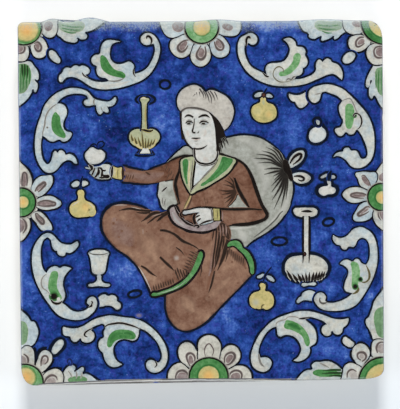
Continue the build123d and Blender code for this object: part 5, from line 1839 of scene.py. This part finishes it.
def cobalt(finish):
    """The colour of the blue ground at any place on the tile, and where its pinholes are."""
    clouds = finish.noise(42.0, 4.0, 0.58, torn=0.6)
    patches = finish.noise(125.0, torn=0.8)
    across = finish.noise(210.0, vector=finish.stretched(0.35, 1.6, 8.0))
    down = finish.noise(240.0, vector=finish.stretched(1.7, 0.4, -4.0))
    mottle = finish.noise(330.0, 3.0, 0.65)
    grain = finish.noise(800.0, 2.0, 0.7)
    sizes = clouds * 0.7 + patches * 0.85 + across * 0.3 + down * 0.35 + mottle * 0.5 + grain * 0.5
    depth = sizes - SIZES_MIDDLE + GROUND_TONE + finish.attribute("thinness")
    blue = finish.ramp(depth, [
        (0.18, 10, 26, 74), (0.34, 20, 43, 104), (0.47, 30, 58, 131),
        (0.6, 44, 77, 155), (0.74, 64, 98, 177), (0.92, 108, 138, 198),
    ])
    violet = finish.smooth(finish.noise(380.0, 2.0, torn=0.5), 0.5, 0.68)
    blue = finish.blend(violet * 0.38, blue, srgb(58, 58, 158))
    teal = finish.smooth(finish.noise(300.0, 2.0), 0.52, 0.7)
    blue = finish.blend(teal * 0.4, blue, srgb(14, 66, 126))
    speck = finish.smooth(finish.noise(1300.0, 1.0, 0.5), 0.7, 0.76) * finish.smooth(mottle, 0.5, 0.62)
    return finish.blend(speck * 0.7, blue, srgb(150, 172, 212)), speck


# %% [markdown]
# The slab's own finish has two states: glazed, and bare where the arris is rubbed and on the sides and
# back. The bare body is a pale, sandy stonepaste, matt and a little stained. Its outer arris is darkened,
# and on the bottom side that dark is a painted shadow.

# %% The slab's finish


def fired_tile_finish():
    """The slab's material, from the glazed face over its rubbed edges to the bare back."""
    finish = Finish("fired_tile")
    blue, speck = cobalt(finish)
    south = finish.attribute("south")
    slope = finish.attribute("slope") + finish.sway(0.12, 380.0)
    bare = finish.smooth(slope, 0.5, 0.8)
    thin = finish.smooth(slope, 0.0, 0.22)
    grit = finish.noise(2400.0, 3.0, 0.7)
    stain = finish.noise(90.0, 4.0)
    body = finish.ramp(stain * 0.7 + grit * 0.35, [
        (0.3, 150, 136, 116), (0.5, 196, 184, 162), (0.68, 222, 214, 196), (0.85, 236, 231, 218),
    ])
    southern = finish.smooth(south, 0.1, 0.3)
    # the outer arris beyond the glaze is darkened; on the bottom side it is painted near black as shadow
    # along the tile's bottom edge
    dark_arris = finish.blend(southern, srgb(84, 84, 92), srgb(46, 42, 42))
    darkened_body = finish.blend(finish.smooth(slope, 0.92, 1.02), dark_arris, body)
    eastern = finish.smooth(finish.along("X"), 0.0, 80 * MM)
    rubbed = finish.blend(eastern, srgb(104, 130, 182), srgb(66, 78, 112))
    northern = finish.smooth(finish.along("Y"), 90 * MM, 96 * MM)
    rubbed = finish.blend(northern, rubbed, srgb(52, 76, 126))
    rubbed = finish.blend(southern, rubbed, srgb(108, 108, 108))
    glazed = finish.blend(thin * 0.75, blue, rubbed)
    hollow = FACE - finish.along("Z") + finish.sway(0.9, 160.0) * MM
    on_flake = finish.smooth(south, 0.12, 0.3) * (1 - finish.smooth(slope, 0.5, 0.65))
    glazed = finish.blend(on_flake, glazed, srgb(92, 90, 92))
    chipped = finish.smooth(hollow, 0.95 * MM, 1.15 * MM) * on_flake
    glazed = finish.blend(chipped, glazed, srgb(206, 205, 198))
    shadowed = finish.smooth(hollow, 1.6 * MM, 1.8 * MM) * on_flake
    glazed = finish.blend(shadowed, glazed, srgb(104, 100, 98))
    colour = finish.blend(bare, glazed, darkened_body)
    height = finish.noise(420.0) * 0.5 + grit * bare * 1.5 - speck * 0.4
    return finish.surface(*finish.painted_top_sheen(colour, finish.gloss() + bare * 0.7), height, 0.22)


fired_tile.data.materials.append(fired_tile_finish())

# %% [markdown]
# ## The pigments
#
# Every painted colour is made the same way: a mottled ramp of its own, which at a soft rim, or where
# the stroke is thin, gives way to the colour of what lies beneath. Only the ramps differ. The outlines
# that lie on the ground sink into the same cobalt that the slab has.

# %% A painted finish


def painted_finish(
    name, stops, grain=0.5, rim_colour=None, rim_share=0.0, sinks_into_blue=False, melts_from=0.45,
    patches=0.0,
):
    """A pigment's material. Its grain is the fine part of its mottle, and patches the very broad one."""
    finish = Finish(name)
    mottle = finish.noise(150.0, 4.0) * (1 - grain) + finish.noise(620.0, 3.0, 0.65) * grain
    mottle = mottle + finish.sway(patches, 38.0, 3.0, 0.5)
    tone = mottle + finish.attribute("tint") * 0.12
    colour = finish.ramp(tone, stops)
    if rim_colour:
        rim = finish.smooth(finish.attribute("rim"), 0.1, 1.0) * rim_share
        colour = finish.blend(rim, colour, rim_colour)
    if sinks_into_blue:
        beneath = cobalt(finish)[0]
    else:
        beneath = finish.attribute("beneath", "Color")
        beneath = finish.blend(1.0, beneath, mottle * 1.3 + 0.35, kind="MULTIPLY")
    ragged = finish.attribute("melt") * (0.75 + finish.noise(700.0) * 0.5)
    cover = (1 - finish.smooth(ragged, melts_from, 1.0)) * finish.attribute("strength")
    colour = finish.blend(cover, beneath, colour)
    return finish.under_glaze(colour)


# %% [markdown]
# White slip is the one colour with a bias: warm and pinkish in some petals, cold in others, and always
# bluer towards its rim, where the cobalt bleeds into it. So the tint attribute moves its ramp between
# cold and warm, and its rim is mixed with a pale blue.

# %% White slip
BLEED = 0.45  # the share of pale blue at a white shape's rim


def white_finish(name, cold_stops, warm_stops):
    """The material of a white, between a cold and a warm ramp."""
    finish = Finish(name)
    mottle = finish.noise(130.0, 4.0) * 0.45 + finish.noise(560.0, 3.0, 0.7) * 0.55
    warmth = finish.noise(60.0, 2.0, 0.5) - 0.5 + finish.attribute("tint") * 0.5
    warmth = warmth + finish.sway(0.9, 340.0, 2.0)
    colour = finish.blend(
        finish.smooth(warmth, -0.35, 0.4), finish.ramp(mottle, cold_stops), finish.ramp(mottle, warm_stops)
    )
    ragged = finish.attribute("rim") + finish.sway(0.6, 500.0)
    colour = finish.blend(finish.smooth(ragged, 0.35, 1.1) * BLEED, colour, srgb(104, 120, 136))
    cover = (1 - finish.smooth(finish.attribute("melt"), 0.2, 1.0)) * finish.attribute("strength")
    colour = finish.blend(cover, finish.attribute("beneath", "Color"), colour)
    return finish.under_glaze(colour)


WHITES = {
    "white_slip": (
        [(0.3, 130, 147, 156), (0.48, 168, 183, 189), (0.66, 198, 208, 208)],
        [(0.3, 150, 146, 136), (0.48, 188, 186, 175), (0.66, 210, 208, 197)],
    ),
    "clean_white": (
        [(0.3, 160, 172, 176), (0.48, 190, 198, 198), (0.66, 208, 212, 210)],
        [(0.3, 164, 162, 152), (0.48, 196, 195, 188), (0.66, 212, 210, 204)],
    ),
}


# %% All pigments and their slots
PIGMENTS = {  # each one's slot, the stops of its ramp, and what else sets it apart
    "blue_black": ("chrome_black", [(0.3, 7, 12, 24), (0.7, 19, 29, 48)],
        dict(sinks_into_blue=True, melts_from=0.6)),
    "blue_halo": ("chrome_black", [(0.35, 8, 16, 52), (0.65, 20, 40, 98)],
        dict(sinks_into_blue=True, melts_from=0.1)),
    "line_black": ("chrome_black", [(0.3, 14, 12, 12), (0.7, 36, 30, 26)], {}),
    "olive_line": ("chrome_black", [(0.3, 70, 66, 40), (0.7, 104, 98, 66)], {}),
    "cushion_grey": ("white_slip", [
        (0.3, 118, 118, 108), (0.45, 142, 143, 134), (0.6, 166, 168, 160), (0.75, 186, 188, 180),
    ], dict(grain=0.4)),
    "white_touch": ("white_slip", [(0.3, 182, 182, 178), (0.7, 204, 202, 194)], dict(melts_from=0.1)),
    "grey_wash": ("white_slip", [(0.3, 146, 156, 158), (0.7, 170, 176, 170)], dict(melts_from=0.0)),
    "copper_green": ("copper_green", [
        (0.3, 40, 92, 46), (0.45, 62, 116, 62), (0.58, 84, 136, 82), (0.7, 112, 156, 106),
        (0.82, 144, 180, 136),
    ], dict(melts_from=0.7)),
    "deep_green": ("copper_green", [(0.3, 26, 78, 36), (0.7, 56, 110, 58)], dict(melts_from=0.2)),
    "pale_celadon": ("copper_green", [(0.3, 134, 146, 112), (0.7, 180, 180, 148)], {}),
    "ochre_yellow": ("ochre_yellow", [
        (0.3, 150, 146, 96), (0.45, 182, 170, 112), (0.58, 200, 184, 128), (0.72, 214, 206, 166),
    ], {}),
    "warm_ochre": ("ochre_yellow", [(0.3, 212, 160, 92), (0.7, 228, 184, 112)], dict(melts_from=0.1)),
    "manganese_brown": ("manganese_brown", [
        (0.2, 88, 56, 42), (0.38, 115, 82, 66), (0.51, 130, 98, 81), (0.66, 146, 114, 94),
        (0.85, 168, 138, 114),
    ], dict(rim_colour=srgb(60, 36, 28), rim_share=0.6, patches=0.9)),
    "deep_brown": ("manganese_brown", [(0.3, 74, 44, 32), (0.7, 110, 70, 52)], dict(melts_from=0.0)),
    "blush_red": ("manganese_brown", [(0.3, 168, 100, 88), (0.7, 186, 120, 104)], dict(melts_from=0.0)),
    "manganese_purple": ("manganese_purple", [
        (0.3, 88, 64, 66), (0.42, 116, 92, 92), (0.5, 132, 118, 118), (0.7, 160, 148, 146),
    ], dict(melts_from=0.2)),
}
for name, piece in pieces.items():
    if name in WHITES:
        slot, material = "white_slip", white_finish(name, *WHITES[name])
    else:
        slot, stops, recipe = PIGMENTS[name]
        material = painted_finish(name, stops, **recipe)
    piece.data.materials.clear()
    piece.data.materials.append(material)
    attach(piece, "root")
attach(fired_tile, "root")
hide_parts("tile")

# %% [markdown]
# ## Floor, light and camera
#
# The tile lies face up on a pale floor, and the camera looks straight down, with the top of the picture
# up. The main lamp stands beyond the top edge, so the tile's thickness throws its soft shadow below the
# bottom edge, and the rolled top edge catches the light. Weak lamps from the other sides fill in.

# %% Floor
ground = bmesh.new()
bmesh.ops.create_grid(ground, x_segments=1, y_segments=1, size=3.0)
floor_mesh = bpy.data.meshes.new("floor")
ground.to_mesh(floor_mesh)
ground.free()
floor = in_scene("floor", floor_mesh)
floor_finish = Finish("floor")
# painted shade: the floor's colour darkens towards the bottom right of the picture, and a little towards
# the top
slant = floor_finish.along("Y") - floor_finish.along("X") * 0.2
painted_floor_shade = floor_finish.smooth(slant, -0.16, 0.16)
floor_colour = floor_finish.ramp(painted_floor_shade, [
    (0.0, 230, 236, 241), (0.2, 244, 247, 249), (0.5, 250, 252, 253), (1.0, 246, 247, 249),
])
floor_mesh.materials.append(floor_finish.surface(floor_colour, 0.6, specular=0.2))

# %% Light


def lamp(name, place, size, watts, colour):
    """A square soft lamp that looks at the middle of the tile."""
    light = bpy.data.lights.new(name, "AREA")
    light.shape = "SQUARE"
    light.size = size
    light.energy = watts
    light.color = colour
    holder = in_scene(name, light)
    holder.location = place
    holder.rotation_euler = (-Vector(place)).to_track_quat("-Z", "Y").to_euler()


lamp("key", (0.0, 2.3, 1.4), 0.7, 66.0, (1.0, 0.985, 0.96))
lamp("fill_left", (-1.7, -0.3, 1.5), 1.2, 10.0, (0.95, 0.97, 1.0))
lamp("fill_right", (1.7, -0.3, 1.5), 1.2, 10.0, (0.95, 0.97, 1.0))
lamp("fill_front", (0.0, -1.9, 1.6), 1.3, 17.5, (0.96, 0.98, 1.0))

# %% [markdown]
# The sky is bright low down and dark overhead. A glaze that faces the camera mirrors what is overhead,
# so this keeps its blacks deep, while its slopes and the pale floor still get their light.

# %% Sky
world = bpy.data.worlds.new("studio")
world.use_nodes = True
sky = world.node_tree.nodes
links = world.node_tree.links
direction = sky.new("ShaderNodeTexCoord")
parts = sky.new("ShaderNodeSeparateXYZ")
fade = sky.new("ShaderNodeMapRange")
fade.inputs["From Min"].default_value = 0.35
fade.inputs["From Max"].default_value = 0.95
fade.inputs["To Min"].default_value = 0.62
fade.inputs["To Max"].default_value = 0.03
links.new(direction.outputs["Generated"], parts.inputs[0])
links.new(parts.outputs["Z"], fade.inputs["Value"])
links.new(fade.outputs["Result"], sky["Background"].inputs["Strength"])
sky["Background"].inputs["Color"].default_value = (0.93, 0.96, 1.0, 1.0)
bpy.context.scene.world = world

# %% Camera
VIEW_TALL = 409 * PIXEL  # what the photo's height shows of the tile's plane
DISTANCE = 0.9
camera_data = bpy.data.cameras.new("camera")
camera_data.sensor_width = 36.0
camera_data.lens = 36.0 * DISTANCE / VIEW_TALL
camera = in_scene("camera", camera_data)
camera.location = spot(200.0, 204.5) + Vector((0, 0, FACE + DISTANCE))
bpy.context.scene.camera = camera
bpy.context.scene.view_settings.view_transform = "Standard"
